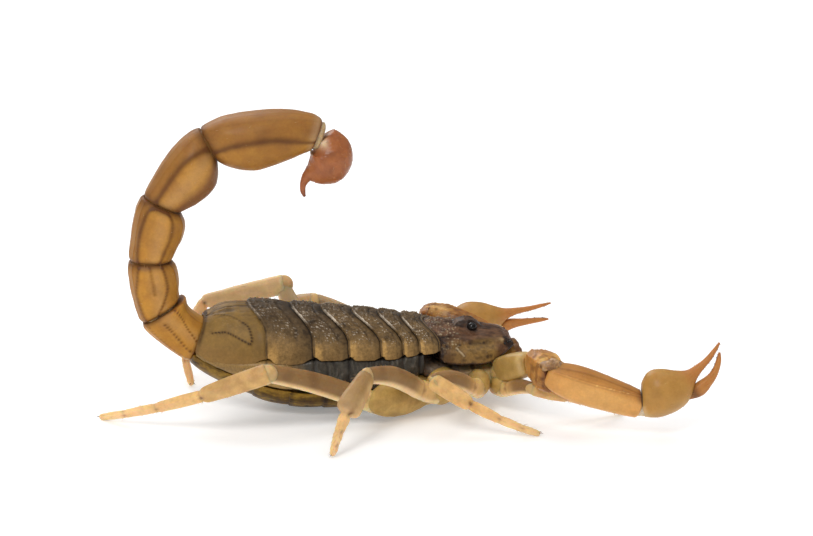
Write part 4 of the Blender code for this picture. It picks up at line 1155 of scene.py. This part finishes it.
def tail_segment(k, stages):
    """One segment, whose flank keels carry its dark lines."""
    (start, first), (end, last) = tail_joint(k), tail_joint(k + 1)
    length = np.linalg.norm(end - start)
    way = (end - start) / length
    inward = np.array((way[2], 0, -way[0]))
    near_lean, far_lean = (-(inward @ crease) / (way @ crease) for crease in (first, last))
    around = 190
    t = stops(120)
    inner, outer = flow(t, stages) * rim(t, length, 0.3, 0.88)
    up = inward + way * (near_lean * (1 - t) ** 3 + far_lean * t**3)[:, None]
    centre = start + (end - start) * t[:, None]
    points = loft(centre, LEFT, up, TAIL_WIDTH * (inner + outer) / 2, inner, outer, TAIL_POWER, around)
    along = np.broadcast_to(t[:, None], points.shape[:2])
    height = np.broadcast_to(rounded(turns(around), TAIL_POWER)[1], along.shape)
    rise, beaded, width, outer_brown, inner_brown, brown, near_band, far_band = TAIL_MARKS[k]
    lines, ridge = 0.0, 0.0
    middle = (inner.mean() + outer.mean()) / 2
    for strength, path in FLANK_KEELS[k]:
        path = [(share * length, high * middle) for share, high in path]
        away, place = from_path(along * length, height * middle, path)
        beads = np.cos(place * 2 * math.pi / BEAD_SPACING + 3 * noise(points, 0.8, 150 + k))
        whole = strength * (1 - beaded + beaded * smooth(-0.5, 0.4, beads))
        ridge = np.maximum(ridge, hump(away, 0, 1.3 * width) * whole)
        lines = np.maximum(lines, hump(away, 0, width) * whole)
    run = smooth(0.02, 0.1, along) * smooth(0.99, 0.93, along)
    high, strong = (0.6, 0.35) if k < 3 else (0.25, 0.15)
    for angle in STRAIGHT_KEELS:
        for mirrored in (angle, 180 - angle):
            away = from_line(points, mirrored)
            ridge = np.maximum(ridge, high * hump(away, 0, 0.16) * run)
            lines = np.maximum(lines, strong * hump(away, 0, 0.14) * run)
    raised = ridge * rise + 0.02 * noise(points, 0.7, 160 + k) + 0.012 * grains(points, 0.3, 161, 0.3)
    bands = np.maximum(hump(along * length, 0, near_band), hump((1 - along) * length, 0, far_band))
    first_keel = [row for row in FLANK_KEELS[k][0][1] if row[1] < 0.15][:6]
    (edge,) = flow(along, first_keel)
    outside = smooth(edge + 0.12, edge - 0.06, height)
    inside = smooth(0.3, 0.75, height)
    soft = noise(points, 1.2, 170 + k)
    dark = 0.75 * lines + 0.8 * bands + 0.12 * smooth(0.1, 0.7, soft)
    warm = brown + outer_brown * outside + inner_brown * inside + 0.12 * soft
    # on the first four segments, a painted glow along the middle of each flank where light shines through;
    # the last is paler at its far end
    if k < 4:
        light = 0.1 * hump(height, 0.1, 0.35) * (1 - lines)
    else:
        light = 0.18 * smooth(0.88, 0.97, along)
    planes = ((start + first * GAP / 2, -first), (end - last * GAP / 2, last))
    name, paint = f"metasoma_{k + 1}", (dark, light, warm)
    surface(f"{name}_shell", "tail_shell", points, raised, paint, name, planes)


def tail_membrane(k):
    """The folded skin inside the joint before segment k: pale where a joint gapes, and brown elsewhere."""
    centre, way = tail_joint(k)
    inward = np.array((way[2], 0, -way[0]))
    _, inner, outer = TAIL_SEGMENTS[k][0] if k < len(TAIL_SEGMENTS) else TAIL_SEGMENTS[-1][-1]
    gapes = k in (1, 5)
    size, bulge = (1.9, 1.12) if k == 1 else (1.1, 1.0)
    t = stops(40)
    fold = (0.93 if gapes else 0.975) * rim(t, size, 0.25, 0.7) - 0.02 * np.cos(t * 4 * math.pi)
    inner = inner * bulge
    spine = centre + way * (size * (t - 0.5))[:, None]
    width = TAIL_WIDTH * (inner + outer) / 2 * fold
    points = loft(spine, LEFT, inward, width, inner * fold, outer * fold, TAIL_POWER, 100)
    dark, light = 0.8, 0.0
    if gapes:
        reach = (points - spine[:, None]) @ inward
        dark = 0.75 * smooth(1.2, 0.2, abs(reach)) if k == 1 else 0.3
        light = 0.6 * smooth(1.3, 2.0, reach)
    raised = 0.02 * noise(points, 0.3, 180 + k)
    finish = "joint_skin" if gapes else "tail_shell"
    surface(f"metasoma_membrane_{k + 1}", finish, points, raised, (dark, light))


def telson():
    """The venom bulb, which runs on into the curved sting as one shell."""
    tip, way = tail_joint(len(TAIL_SEGMENTS))
    bulb, sting = stops(150, 0.6), np.linspace(0.06, 1, 80)
    spine = np.concatenate([bent(VESICLE_PATH, bulb), bent(ACULEUS_PATH, sting)])
    sizes = np.concatenate([flow(bulb, VESICLE_STAGES), flow(sting, ACULEUS_STAGES)], axis=1)
    # the step from the one to the other is softened
    here, before, after = slice(100, -4), slice(99, -5), slice(101, -3)
    for _ in range(6):
        spine[here] = (spine[before] + 2 * spine[here] + spine[after]) / 4
        sizes[:, here] = (sizes[:, before] + 2 * sizes[:, here] + sizes[:, after]) / 4
    along = np.r_[0, np.cumsum(np.linalg.norm(np.diff(spine, axis=0), axis=1))]
    direction = unit(np.gradient(spine, along, axis=0))
    up = unit(np.cross(direction, LEFT))
    top, bottom, width = sizes
    points = loft(spine, LEFT, up, width, top, bottom, 2.1, 120)
    share = (along / along[len(bulb)])[:, None]
    on_bulb = smooth(1.05, 0.9, share)
    raised = (0.04 * grains(points, 0.34, 190, 0.6) + 0.03 * noise(points, 0.7, 191)) * on_bulb
    # a painted highlight along the top of the bulb near its base
    light = hump(points[..., 2], 27.4, 0.5) * smooth(-3.9, -4.6, points[..., 0])
    dark = 0.3 * smooth(0.1, 0.7, noise(points, 0.8, 192)) * on_bulb + 0.9 * smooth(1.25, 1.55, share)
    planes = ((tip + way * GAP / 2, -way),)
    nodes = "telson_vesicle telson_aculeus"
    surface("telson_shell", "venom_shell", points, raised, (dark, light), nodes, planes)


def tail():
    for k, stages in enumerate(TAIL_SEGMENTS):
        tail_segment(k, stages)
    for k in range(len(TAIL_SEGMENTS) + 1):
        tail_membrane(k)
    telson()


# ---------------------------------------------------------------- legs

# Where the rings lie closer together, as distances before and after a joint
JOINT_RINGS = np.array((-0.3, -0.2, -0.14, -0.1, -0.075, -0.05, -0.03, -0.015, 0, 0.03, 0.07, 0.12, 0.2, 0.3))
KNEE_OVERLAP = 0.3
FEMUR_SWEEP = {"left_4": np.array((-0.15, 0.0, 0.0))}  # a bow of the femur, as a share of its length
# a painted glow: the light paint that stands for the light shining through these far legs
LEG_PAINTED_GLOW = {"left_3": 0.2, "left_4": 0.35}  # the legs that the light shines through
LEG_BROWN = {"1": 0.2, "2": 0.1, "3": 0.7, "4": 0.3}  # how brown each pair's patella is
COXA_LOBES = {  # the share of the way to the hip where it is, its half length as a share, its half height
    "1": (0.66, 0.45, 1.6),
    "2": (0.66, 0.45, 1.6),
    "3": (0.66, 0.45, 1.9),
    "4": (0.72, 0.54, 1.95),
}


def telescoped(distance, starts, reaches):
    """The reach along a limb: each segment swells a little and draws in softly at its joints."""
    ends = np.r_[starts[1:], distance[-1]]
    rows = []
    for k, ((near, far), start, end) in enumerate(zip(reaches, starts, ends)):
        size = end - start
        soft = min(0.4, 0.2 * size)
        after = reaches[k + 1][0] if k + 1 < len(reaches) else far
        rows.append((start, 0.93 * min(near, reaches[k - 1][1]) if k else near))
        rows.append((start + soft, near))
        rows.append((start + 0.5 * size, 0.53 * (near + far)))
        rows.append((end - 2 * soft, far))
        rows.append((end - 0.8 * soft, 0.65 * far + 0.35 * min(far, after)))
    rows.append((distance[-1], reaches[-1][1]))
    return flow(distance, rows)[0]


def jointed(joints, reaches, hinge, width, bow, count, around):
    """Rings along a chain of segments, with the distances of rings and inner joints, and the rings' up."""
    ways = [unit(b - a) for a, b in zip(joints, joints[1:])]
    rows, starts, total = [], [], 0.0
    for k, way in enumerate(ways):
        size = np.linalg.norm(joints[k + 1] - joints[k])
        turn = unit(ways[k - 1] + way) if k else way
        rows.append((total, *joints[k], *turn))
        starts.append(total)
        arch = bow * size if k == len(ways) - 1 else UP * 0
        for share in (0.2, 0.5, 0.78):
            here = joints[k] + (joints[k + 1] - joints[k]) * share + arch * math.sin(math.pi * share)
            if bow.any() or share != 0.5:
                rows.append((total + share * size, *here, *way))
        total += size
    rows.append((total, *joints[-1], *ways[-1]))
    marks = np.array(starts[1:])
    distance = np.unique(np.r_[total * stops(count, 0.5), (marks[:, None] + JOINT_RINGS).ravel()])
    columns = flow(distance, rows)
    centre, way = columns[:3].T, unit(columns[3:6].T)
    reach = telescoped(distance, np.array(starts), reaches) * rim(distance / total, total, 0.55, 0.35)
    up = unit(np.cross(hinge, way))
    side = np.cross(way, up)
    return loft(centre, side, up, reach * width, reach, reach, LIMB_POWER, around), distance, marks, up


def shin_joints(path, shares):
    """The knee, the joints at those shares of the way down the bowed shin, and the foot."""
    fine = bent(path, np.linspace(0, 1, 61))
    lengths = np.r_[0, np.cumsum(np.linalg.norm(np.diff(fine, axis=0), axis=1))]
    inner = [fine[abs(lengths - share * lengths[-1]).argmin()] for share in shares]
    return [path[0], *inner, path[2]]


def leg_paint(points, distance, marks, up, part, patella_brown, seed):
    """A brown spot on both sides of each joint, pale skin in the joints, and a browner upper face."""
    along = distance[:, None]
    middle = points.mean(axis=1, keepdims=True)
    above = ((points - middle) * up[:, None]).sum(-1) / np.linalg.norm(points - middle, axis=-1)
    spots = sum(weight * hump(along, mark - 0.12, 0.24) for mark, weight in zip(marks, (1, 0.6, 0.5)))
    spots = spots * hump(above, 0.1, 0.36)
    rings = 0.25 * sum(hump(along, mark, 0.12) for mark in marks)
    patches = smooth(0.0, 0.8, noise(points, 1.3, seed))
    if part == "upper":
        brown = 0.85 * smooth(-0.95, -0.45, above) * smooth(marks[1] - 0.4, marks[1] + 1.6, along)
        pale = 0.5 * hump(above, -0.95, 0.25)
    else:
        brown = patella_brown * smooth(marks[0] + 0.1, marks[0] - 0.4, along)
        brown = brown * (0.5 + 0.5 * smooth(-0.2, 0.5, above))
        pale = 0.35 * smooth(0.2 * distance[-1], distance[-1], along)
    return 0.85 * spots, pale, brown + rings + 0.12 * patches


def legs():
    """The eight legs, each an upper and a lower shell with its claws, the knee's skin and its base."""
    for number, (name, (*points, foot)) in enumerate(LEGS.items()):
        coxa, hip, knee, guide, foot = (np.array(p, float) for p in (*points, (*foot, FOOT_HEIGHT)))
        size, patella_near, patella_far, femur_bow = LEG_SHAPES[name[-1]]
        turn_point = hip + (knee - hip) * TROCHANTER_SHARE
        hinge = unit(np.cross(knee - hip, UP))
        shins = shin_joints((knee, guide, foot), OTHER_SHIN_SHARES.get(name, SHIN_SHARES))
        thigh_way, shin_way = unit(knee - turn_point), unit(shins[1] - knee)
        # the two parts run into each other a little at the knee
        past = knee + thigh_way * KNEE_OVERLAP * size
        before = knee - shin_way * KNEE_OVERLAP * size
        bow = UP * femur_bow + FEMUR_SWEEP.get(name, 0 * UP)
        shin_reaches = ((patella_near, patella_far), *LOWER_LEG)
        upper = ("upper", [coxa, hip, turn_point, past], UPPER_LEG, UPPER_LEG_WIDTH, bow)
        lower = ("lower", [before, *shins[1:]], shin_reaches, LOWER_LEG_WIDTH, 0 * UP)
        for part, joints, table, width, bow in (upper, lower):
            reaches = [(near * size, far * size) for near, far in table]
            rings, distance, marks, up = jointed(joints, reaches, hinge, width, bow, 120, 72)
            seed = 200 + 2 * number + (part == "upper")
            dark, light, warm = leg_paint(rings, distance, marks, up, part, LEG_BROWN[name[-1]], seed)
            light = np.maximum(light, LEG_PAINTED_GLOW.get(name, 0.0))
            keel = keels(rings, 0.07, 35, 90, 145, 215, 325)
            raised = 0.012 * noise(rings, 0.5, seed + 20) + 0.03 * keel * smooth(0.5, 1.2, distance)[:, None]
            solid, paint = f"leg_{name}_{part}", (dark, light, warm)
            surface(f"{solid}_shell", "leg_shell", rings, raised, paint, solid, floor=0.0)
        claws(name, shins, size)
        reach = size * 0.5 * (UPPER_LEG[-1][1] + patella_near)
        knee_skin(name, knee, unit(thigh_way + shin_way), hinge, reach)
        coxa_lobe(name, coxa, hip, size)


def knee_skin(name, knee, crease, hinge, reach):
    """The soft skin that joins the leg's two parts at the knee."""
    axes = np.stack([hinge, crease, np.cross(hinge, crease)])
    points = ball(knee, axes, np.array((0.74, 1.0, 1.0)) * reach)
    raised = 0.015 * noise(points, 0.5, 231)
    surface(f"leg_{name}_knee_skin", "leg_shell", points, raised, (0, 0.1, 0.35))


def coxa_lobe(name, coxa, hip, size):
    """The broad first segment, which fills the flank between the breastbone and the leg."""
    way = unit(hip - coxa)
    side = unit(np.cross(way, UP))
    axes = np.stack([way, side, np.cross(side, way)])
    length = np.linalg.norm(hip - coxa)
    share, long, tall = COXA_LOBES[name[-1]]
    middle = coxa + way * length * share + UP * 0.55
    points = ball(middle, axes, (long * length, 1.3 * size, tall * size), 40, 60)
    raised = 0.03 * noise(points, 0.6, 233)
    warm = 0.25 + 0.3 * smooth(-0.1, 0.6, noise(points, 0.9, 232))
    surface(f"leg_{name}_coxa_lobe", "coxa_shell", points, raised, (0, 0, warm))


def claws(name, shins, size):
    """Two curved claws at the end of each foot."""
    way = unit(shins[-1] - shins[-2])
    flat = unit(way * (1, 1, 0.15))
    side = unit(np.cross(flat, UP))
    t = np.linspace(0, 1, 10)
    paths = []
    for hand in (-1, 1):
        root = shins[-1] - way * 0.1 + side * 0.1 * hand + UP * 0.08
        apart = side * hand * 0.2 * size
        lift = UP * (0.1 * np.sin(2.6 * t) - 0.1 * t)[:, None]
        paths.append(root + flat * (0.42 * t)[:, None] + apart * (t**0.7)[:, None] + lift)
    radii = np.tile(0.06 * (1 - 0.85 * t), (2, 1))
    paths = np.array(paths)
    paths[..., 2] = np.maximum(paths[..., 2], 0.1)
    rods(f"leg_{name}_claws", "claw", paths, radii, 10, dark=smooth(0.4, 1, t))


# ---------------------------------------------------------------- arms

HAND_SHIFTS = {  # of the bend of the hand, the finger's root and its bend
    "right": ((0.75, 0, -0.15), (0, 0, 0), (0.1, 0, 0)),
    "left": ((0.0, 0, 0.35), (0, 0, 0.75), (0, 0, 0.4)),
}
ELBOWS = {"right": (1.0, (1.2, 0.95, 0.62)), "left": (0.4, (0.8, 0.8, 0.6))}  # the skin's height and radii
FEMUR_LIFTS = {"right": (0.65, -0.1), "left": (-0.75, -0.05)}  # how far its two ends are lifted
# How far each segment of the right arm is moved along itself at its two ends
ARM_SHIFTS = {"trochanter": (0.0, 0.6), "femur": (1.0, 0.1), "patella": (-0.75, 0.0)}
# The keels of the last segment of an arm: lines of (share of the length, degrees from level)
RIDGE = ((0.05, 28), (0.3, 25), (0.5, 27), (0.7, 34), (0.85, 42), (0.97, 50))
UPPER_RIDGE = ((0.1, 52), (0.35, 56), (0.6, 60), (0.97, 60))
PER_DEGREE = 0.03  # millimetres round an arm
JOINT_RING = -9  # the ring from which the skin inside a joint takes its size
FINGER_ROOT = -0.22  # where the movable finger starts, as a share of its length before its joint
TEETH = 34  # on each finger


def arms():
    """The two pincers: three segments, the skin of the elbow, the hand and its finger."""
    for side, joints in ARMS.items():
        coxa, shoulder, elbow, wrist, hand_bend, fixed_tip, *finger = (np.array(p, float) for p in joints)
        chain = (("trochanter", coxa, shoulder), ("femur", shoulder, elbow), ("patella", elbow, wrist))
        ways = [unit(end - start) for _, start, end in chain] + [unit(hand_bend - wrist)]
        creases = [unit(a + b) for a, b in zip(ways, ways[1:])]
        for k, (segment, start, end) in enumerate(chain):
            before, after = ARM_SHIFTS[segment] if side == "right" else (0.0, 0.0)
            start, end = start + ways[k] * before, end + ways[k] * after
            if segment == "femur":
                low, high = FEMUR_LIFTS[side]
                start, end = start + UP * low, end + UP * high
            arm_segment(side, segment, start, end, ways[k], creases[k], 240 + 10 * k + len(side))
        elbow_skin(side, elbow, ways[2])
        bend, root, finger_bend = map(np.add, (hand_bend, *finger[:2]), HAND_SHIFTS[side])
        hand(side, (wrist, bend, fixed_tip), (root, finger_bend, finger[2]), creases[-1])


def arm_segment(side, segment, start, end, way, crease, seed):
    """One segment between the body and the hand, with the soft skin of its far joint."""
    length = np.linalg.norm(end - start)
    t = stops(110)
    (reach,) = flow(t, ARM_STAGES[segment])
    reach = reach * rim(t, length, 0.35, 0.7)
    up = np.cross(unit(np.cross(way, UP)), way)
    middle = start + (end - start) * t[:, None]
    width = reach * ARM_WIDTHS[segment]
    rings = loft(middle, np.cross(way, up), up, width, reach, reach, ARM_POWERS[segment], 130)
    raised, (dark, light, warm) = arm_detail(rings, t, length, segment, seed)
    if side == "left":
        warm = np.minimum(1, warm + 0.45)
    name = f"pedipalp_{side}_{segment}"
    finish = "coxa_shell" if segment == "trochanter" else "arm_shell"
    planes = ((end - crease * GAP / 2, crease),)
    surface(f"{name}_shell", finish, rings, raised, (dark, light, warm), name, planes)
    inside = reach[JOINT_RING] * (0.7 if segment == "femur" else 0.86)
    arm_membrane(f"{name}_membrane", end, crease, inside, segment)


def arm_detail(rings, t, length, segment, seed):
    """Keels with their paint along a segment of the arm, with painted glints on the keels' grains and, on the
    patella, painted light from below.
    """
    along = np.broadcast_to(t[:, None], rings.shape[:2])
    turn = turns(rings.shape[1])
    level = np.degrees(np.arctan2(np.sin(turn), abs(np.cos(turn))))
    level = np.broadcast_to(level, along.shape)
    beads = grains(rings, 0.34, seed)
    # painted glints: light specks on the grains of the keels
    painted_sparks = smooth(0.55, 0.8, grains(rings, 0.24, seed + 3))
    run = smooth(0.03, 0.1, along) * smooth(1.0, 0.94, along)
    if segment == "patella":
        ridge, upper = (
            from_path(along * length, level * PER_DEGREE, [(a * length, h * PER_DEGREE) for a, h in path])[0]
            for path in (RIDGE, UPPER_RIDGE)
        )
        keel = (hump(ridge, 0, 0.11) + 0.7 * hump(upper, 0, 0.1)) * run
        raised = keel * (0.06 + 0.05 * beads) + 0.015 * noise(rings, 0.7, seed + 1)
        corner = hump((1 - along) * length, 0.15, 0.6) * smooth(5, 35, level)
        dark = (
            0.85 * corner + 0.35 * hump(upper, 0.06, 0.09) * run
            + 0.25 * hump(ridge, 0.12, 0.08) * run
            + 0.12 * smooth(0.2, 0.8, noise(rings, 0.9, seed + 2))
        )
        warm = 0.5 * smooth(22, 48, level) + 0.25 * smooth(0.2, 0.05, along)
        # the lower face is painted lighter, a painted reflection of the light from the floor
        low = smooth(35, 10, level) * smooth(-75, -50, level)
        light = 0.3 * low * hump(along, 0.55, 0.5) + 0.8 * hump(ridge, 0.02, 0.07) * painted_sparks * run
    elif segment == "femur":
        keel = keels(rings, 0.14, 35, 78, 122, 155, 215, 325)
        raised = keel * run * (0.07 + 0.08 * beads) + 0.04 * noise(rings, 0.5, seed + 1)
        ends = hump((1 - along) * length, 0, 0.3)
        patches = smooth(0.0, 0.5, noise(rings, 0.4, seed + 2))
        dark = 0.6 * ends + 0.5 * patches * smooth(0.2, 0.6, along)
        warm = 0.7 + 0.3 * noise(rings, 0.7, seed + 4) - 0.5 * smooth(0.2, 0.1, along)
        light = 0.55 * hump(level, 60, 22) * smooth(0.55, 0.85, along)
        light = light + 0.4 * painted_sparks * smooth(0.5, 0.8, along)
    else:
        raised = 0.04 * noise(rings, 0.7, seed + 1)
        dark = 0.12 * smooth(0.1, 0.6, noise(rings, 0.9, seed + 2))
        warm = 0.45 + 0.25 * smooth(0.85, 0.4, along) * smooth(-60, 20, level)
        light = 0.25 * hump(along, 0.86, 0.07)
    return raised, (dark, light, warm)


def arm_membrane(name, centre, way, reach, segment):
    """The soft skin in the joint at the far end of a segment."""
    side = unit(np.cross(way, UP))
    up = np.cross(side, way)
    t = stops(30)
    size = reach * rim(t, 1.3, 0.5, 0.4)
    spine = centre + way * (1.3 * (t - 0.5))[:, None]
    points = loft(spine, side, up, size * 0.85, size, size, 2.2, 80)
    high = smooth(-0.2, 0.5, (points - centre) @ up / reach)
    if segment == "femur":
        dark, light = 0.45 * smooth(0.0, 0.5, noise(points, 0.4, 262)), 0.4 * high
    else:
        dark, light = 0.75 * high * (segment == "patella"), 0.5 * (1 - high)
    surface(name, "joint_skin", points, 0.04 * noise(points, 0.3, 261), (dark, light))


def elbow_skin(side, elbow, way):
    """The crumpled skin over the elbow, with painted shade in its folds and painted highlights on their
    ridges.
    """
    lift, radii = ELBOWS[side]
    points = ball(elbow + UP * lift - way * 0.25, np.eye(3), radii, 40, 60)
    folds = noise(points, (0.45, 0.6, 0.6), 263) + 0.8 * grains(points, 0.75, 264) - 0.4
    height = (points[..., 2] - elbow[2] - lift) / radii[2]
    sunk = smooth(0.55, 0.1, height)
    dark = 0.6 * smooth(0.0, -0.5, folds) + 0.35 * sunk
    paint = (dark, 0.3 * smooth(0.0, 0.5, folds), 0.2 + 0.6 * sunk)
    finish = "elbow_skin" if side == "right" else "arm_shell"
    surface(f"pedipalp_{side}_elbow_skin", finish, points, 0.09 * folds, paint)


def curved(path, stages, t, around):
    """Rings along a quadratic path, with their up; stages are (share, reach above, below, half width)."""
    way = unit(bent(path, t + 0.01) - bent(path, t - 0.01))
    side = unit(np.cross(way, np.cross(-LEFT, way)))
    up = unit(np.cross(side, way))
    top, bottom, width = flow(t, stages)
    return loft(bent(path, t), side, up, width, top, bottom, 2.1, around), up


def hand(side, path, finger_path, crease):
    """The bulb of the pincer with its fixed finger, the movable finger, and the teeth of both."""
    name = f"pedipalp_{side}"
    t = stops(160, 0.6)
    bulge = HAND_BULGES[side]
    stages = [(share, above * bulge, below, half_width) for share, above, below, half_width in HAND_STAGES]
    around = 150
    rings, _ = curved(path, stages, t, around)
    along = t[:, None]
    ridge = keels(rings, 0.16, 35, 90, 145) * smooth(0.05, 0.12, along)
    raised = 0.025 * ridge * smooth(0.6, 0.4, along) + 0.015 * noise(rings, 0.9, 270)
    high = np.sin(turns(around))
    patches = smooth(0.2, 0.8, noise(rings, 1.2, 271))
    dark = 0.55 * hump(along, 0, 0.04) * smooth(0.3, 0.8, high) + 0.12 * patches
    dark = dark + 0.3 * smooth(0.9, 1, along)
    light = 0.18 * smooth(0.0, -0.8, high) * smooth(0.45, 0.3, along)
    light = light + 0.35 * hump(along, 0.01, 0.02) * (high < 0.2)
    paint = (dark, light, smooth(0.42, 0.62, along))
    planes = ((path[0] + crease * GAP / 2, -crease),)
    surface(f"{name}_hand_shell", "hand_shell", rings, raised, paint, f"{name}_hand", planes)
    # the finger's root runs on into the hand
    t = FINGER_ROOT + (1 - FINGER_ROOT) * stops(120, 0.5)
    around = 70
    rings, _ = curved(finger_path, FINGER_STAGES, t, around)
    spine = bent(finger_path, t)[:, None]
    rings = spine + (rings - spine) * (0.5 + 0.5 * smooth(-0.2, 0.12, t))[:, None, None]
    along = t[:, None]
    dark = 0.75 * hump(along, 0.0, 0.09) + 0.3 * smooth(0.85, 1, along)
    swelling = hump(along, 0.3, 0.2) * smooth(0.2, 0.8, np.sin(turns(around)))
    raised = 0.01 * noise(rings, 0.5, 272) + 0.13 * swelling
    surface(f"{name}_finger_shell", "hand_shell", rings, raised, (dark, 0, 0.9), f"{name}_finger")
    # a row of teeth on the facing edge of each finger, with a larger one after every few
    step = np.linspace(0, 1, 4)
    big = np.where(np.arange(TEETH) % 6 == 0, 1.6, 1.0)[:, None]
    for kind, line, table, first, last, column, facing in (
        ("fixed", path, HAND_STAGES, 0.56, 0.97, 1, -1),
        ("movable", finger_path, FINGER_STAGES, 0.2, 0.96, 0, 1),
    ):
        share = np.linspace(first, last, TEETH)
        out = curved(line, table, share, 8)[1] * facing
        base = bent(line, share) + out * (flow(share, table)[column] * 0.92)[:, None]
        paths = base[:, None] + out[:, None] * (big * 0.08 * step)[..., None]
        radii = 0.055 * big * (1 - 0.8 * step)
        rods(f"{name}_teeth_{kind}", "claw", paths, radii, 6, dark=step)


# ---------------------------------------------------------------- bristles


def bristles(skin, count, length, thickness, lean=0.8, share=(0.05, 0.98)):
    """Short hairs over one skin, leaning along it, as one mesh."""
    points, normals = SKINS[f"{skin}_shell"]
    rings, around = points.shape[:2]
    i = (RANDOM.uniform(*share, count) * (rings - 2)).astype(int)
    j = RANDOM.integers(0, around, count)
    root, normal = points[i, j], normals[i, j]
    along = unit(points[np.minimum(i + 1, rings - 1), j] - points[i, j])
    size = length * RANDOM.uniform(0.6, 1.25, count)[:, None, None]
    step = np.linspace(0, 1, 5)[None, :, None]
    out = unit(normal + along * lean + RANDOM.normal(0, 0.2, root.shape))[:, None]
    paths = root[:, None] - normal[:, None] * 0.03 + out * size * step
    paths = paths + along[:, None] * size * 0.25 * step**2
    paths[..., 2] = np.maximum(paths[..., 2], 0.02)
    radii = np.broadcast_to(thickness * (1 - 0.8 * step[..., 0]), paths.shape[:2])
    rods(f"{skin}_bristles", "bristle", paths, radii, 4, uv=np.c_[i / rings, j / around])


# The bristles of the arms' pieces: how many, and how long
ARM_BRISTLES = (("femur", 30, 0.45), ("patella", 40, 0.45), ("hand", 60, 0.5), ("finger", 40, 0.35))


def all_bristles():
    for name in LEGS:
        bristles(f"leg_{name}_upper", 40, 0.35, 0.015)
        bristles(f"leg_{name}_lower", 120, 0.4, 0.015)
    for side in ARMS:
        for part, count, length in ARM_BRISTLES:
            bristles(f"pedipalp_{side}_{part}", count, length, 0.012, lean=0.5)
    for k in (2, 3, 4, 5):
        bristles(f"metasoma_{k}", 30, 0.4, 0.012, lean=0.5, share=(0.1, 0.9))
    bristles("telson", 50, 0.5, 0.014, lean=0.6, share=(0.05, 0.6))


# ---------------------------------------------------------------- stage

CAMERA_DISTANCE = 260.0
CAMERA_ELEVATION = math.radians(16)
CAMERA_AZIMUTH = math.radians(-6)
CAMERA_AIM = np.array((3.65, 0, 14.1))
LENS = 115.13
LAMPS = (  # name, place in metres, size, power
    ("key", (-0.22, -0.42, 0.48), 0.2, 1.8),
    ("top", (0.1, 0.1, 0.7), 0.5, 1.0),
    ("rear", (-0.2, 0.5, 0.4), 0.4, 1.6),
)
FLOOR_RADIUS = 3.0


def pointed(kind, data, location, target):
    """An object at that place in metres, whose -Z axis looks at the target."""
    obj = bpy.data.objects.new(kind, data)
    bpy.context.scene.collection.objects.link(obj)
    back = unit(np.asarray(location) - np.asarray(target))
    right = unit(np.cross(UP, back)) if abs(back[2]) < 0.999 else np.array((1.0, 0, 0))
    matrix = np.eye(4)
    matrix[:3, :3] = np.stack([right, np.cross(back, right), back], axis=1)
    matrix[:3, 3] = location
    obj.matrix_world = Matrix(matrix.tolist())
    return obj


def studio(scene):
    """A white room that lights the subject softly and is dimmer still in its reflections."""
    world = bpy.data.worlds.new("studio")
    scene.world = world
    world.use_nodes = True
    world.cycles.sampling_method = "NONE"
    tree = world.node_tree
    mirrored = add_node(tree, "ShaderNodeLightPath")["Is Glossy Ray"]
    strength = ranged(tree, mirrored, 0, 1, 0.58, 0.25)
    fill(tree.nodes["Background"], {"Strength": strength, "Color": (1, 1, 1)})


def camera_and_lamps(scene):
    """The photo's camera, and three soft lamps round the animal."""
    camera = bpy.data.cameras.new("camera")
    camera.lens = LENS
    camera.sensor_width = 36.0
    camera.clip_start = 0.01
    camera.clip_end = 10.0
    el, az = CAMERA_ELEVATION, CAMERA_AZIMUTH
    back = np.array((math.sin(az) * math.cos(el), -math.cos(az) * math.cos(el), math.sin(el)))
    aim = CAMERA_AIM * MM + SHIFT
    scene.camera = pointed("camera", camera, aim + back * CAMERA_DISTANCE * MM, aim)
    for name, place, size, power in LAMPS:
        light = bpy.data.lights.new(name, "AREA")
        light.size = size
        light.energy = power
        pointed(name, light, place, (0, 0, 0.01))


def stage():
    """The camera, the lamps, the white room and the pale floor."""
    scene = bpy.context.scene
    scene.view_settings.view_transform = "Standard"
    camera_and_lamps(scene)
    studio(scene)
    ground = bpy.data.materials.new("floor")
    ground.use_nodes = True
    tree = ground.node_tree
    where = add_node(tree, "ShaderNodeTexCoord")["Object"]
    cloud = add_node(tree, "ShaderNodeTexNoise", {"Vector": where, "Scale": 6.0})["Fac"]
    fill(tree.nodes["Principled BSDF"], {
        "Base Color": mixed(tree, cloud, (0.9, 0.9, 0.9), (0.88, 0.88, 0.88)),
        "Roughness": 0.6,
        "Emission Color": (0.93, 0.97, 1),
        "Emission Strength": 0.24,
    })
    disc = turns(96)
    edge = np.stack([np.cos(disc), np.sin(disc), 0 * disc], -1) * FLOOR_RADIUS
    mesh = bpy.data.meshes.new("floor")
    mesh.from_pydata(edge.tolist(), [], [list(range(len(disc)))])
    mesh.materials.append(ground)
    floor = bpy.data.objects.new("floor", mesh)
    scene.collection.objects.link(floor)


# ---------------------------------------------------------------- assembly

finishes()
soft_body()
tergites()
sternites()
head()
eyes()
chelicerae()
prosoma()
belly_plates()
maxillary_lobes()
combs()
tail()
legs()
arms()
all_bristles()
stage()
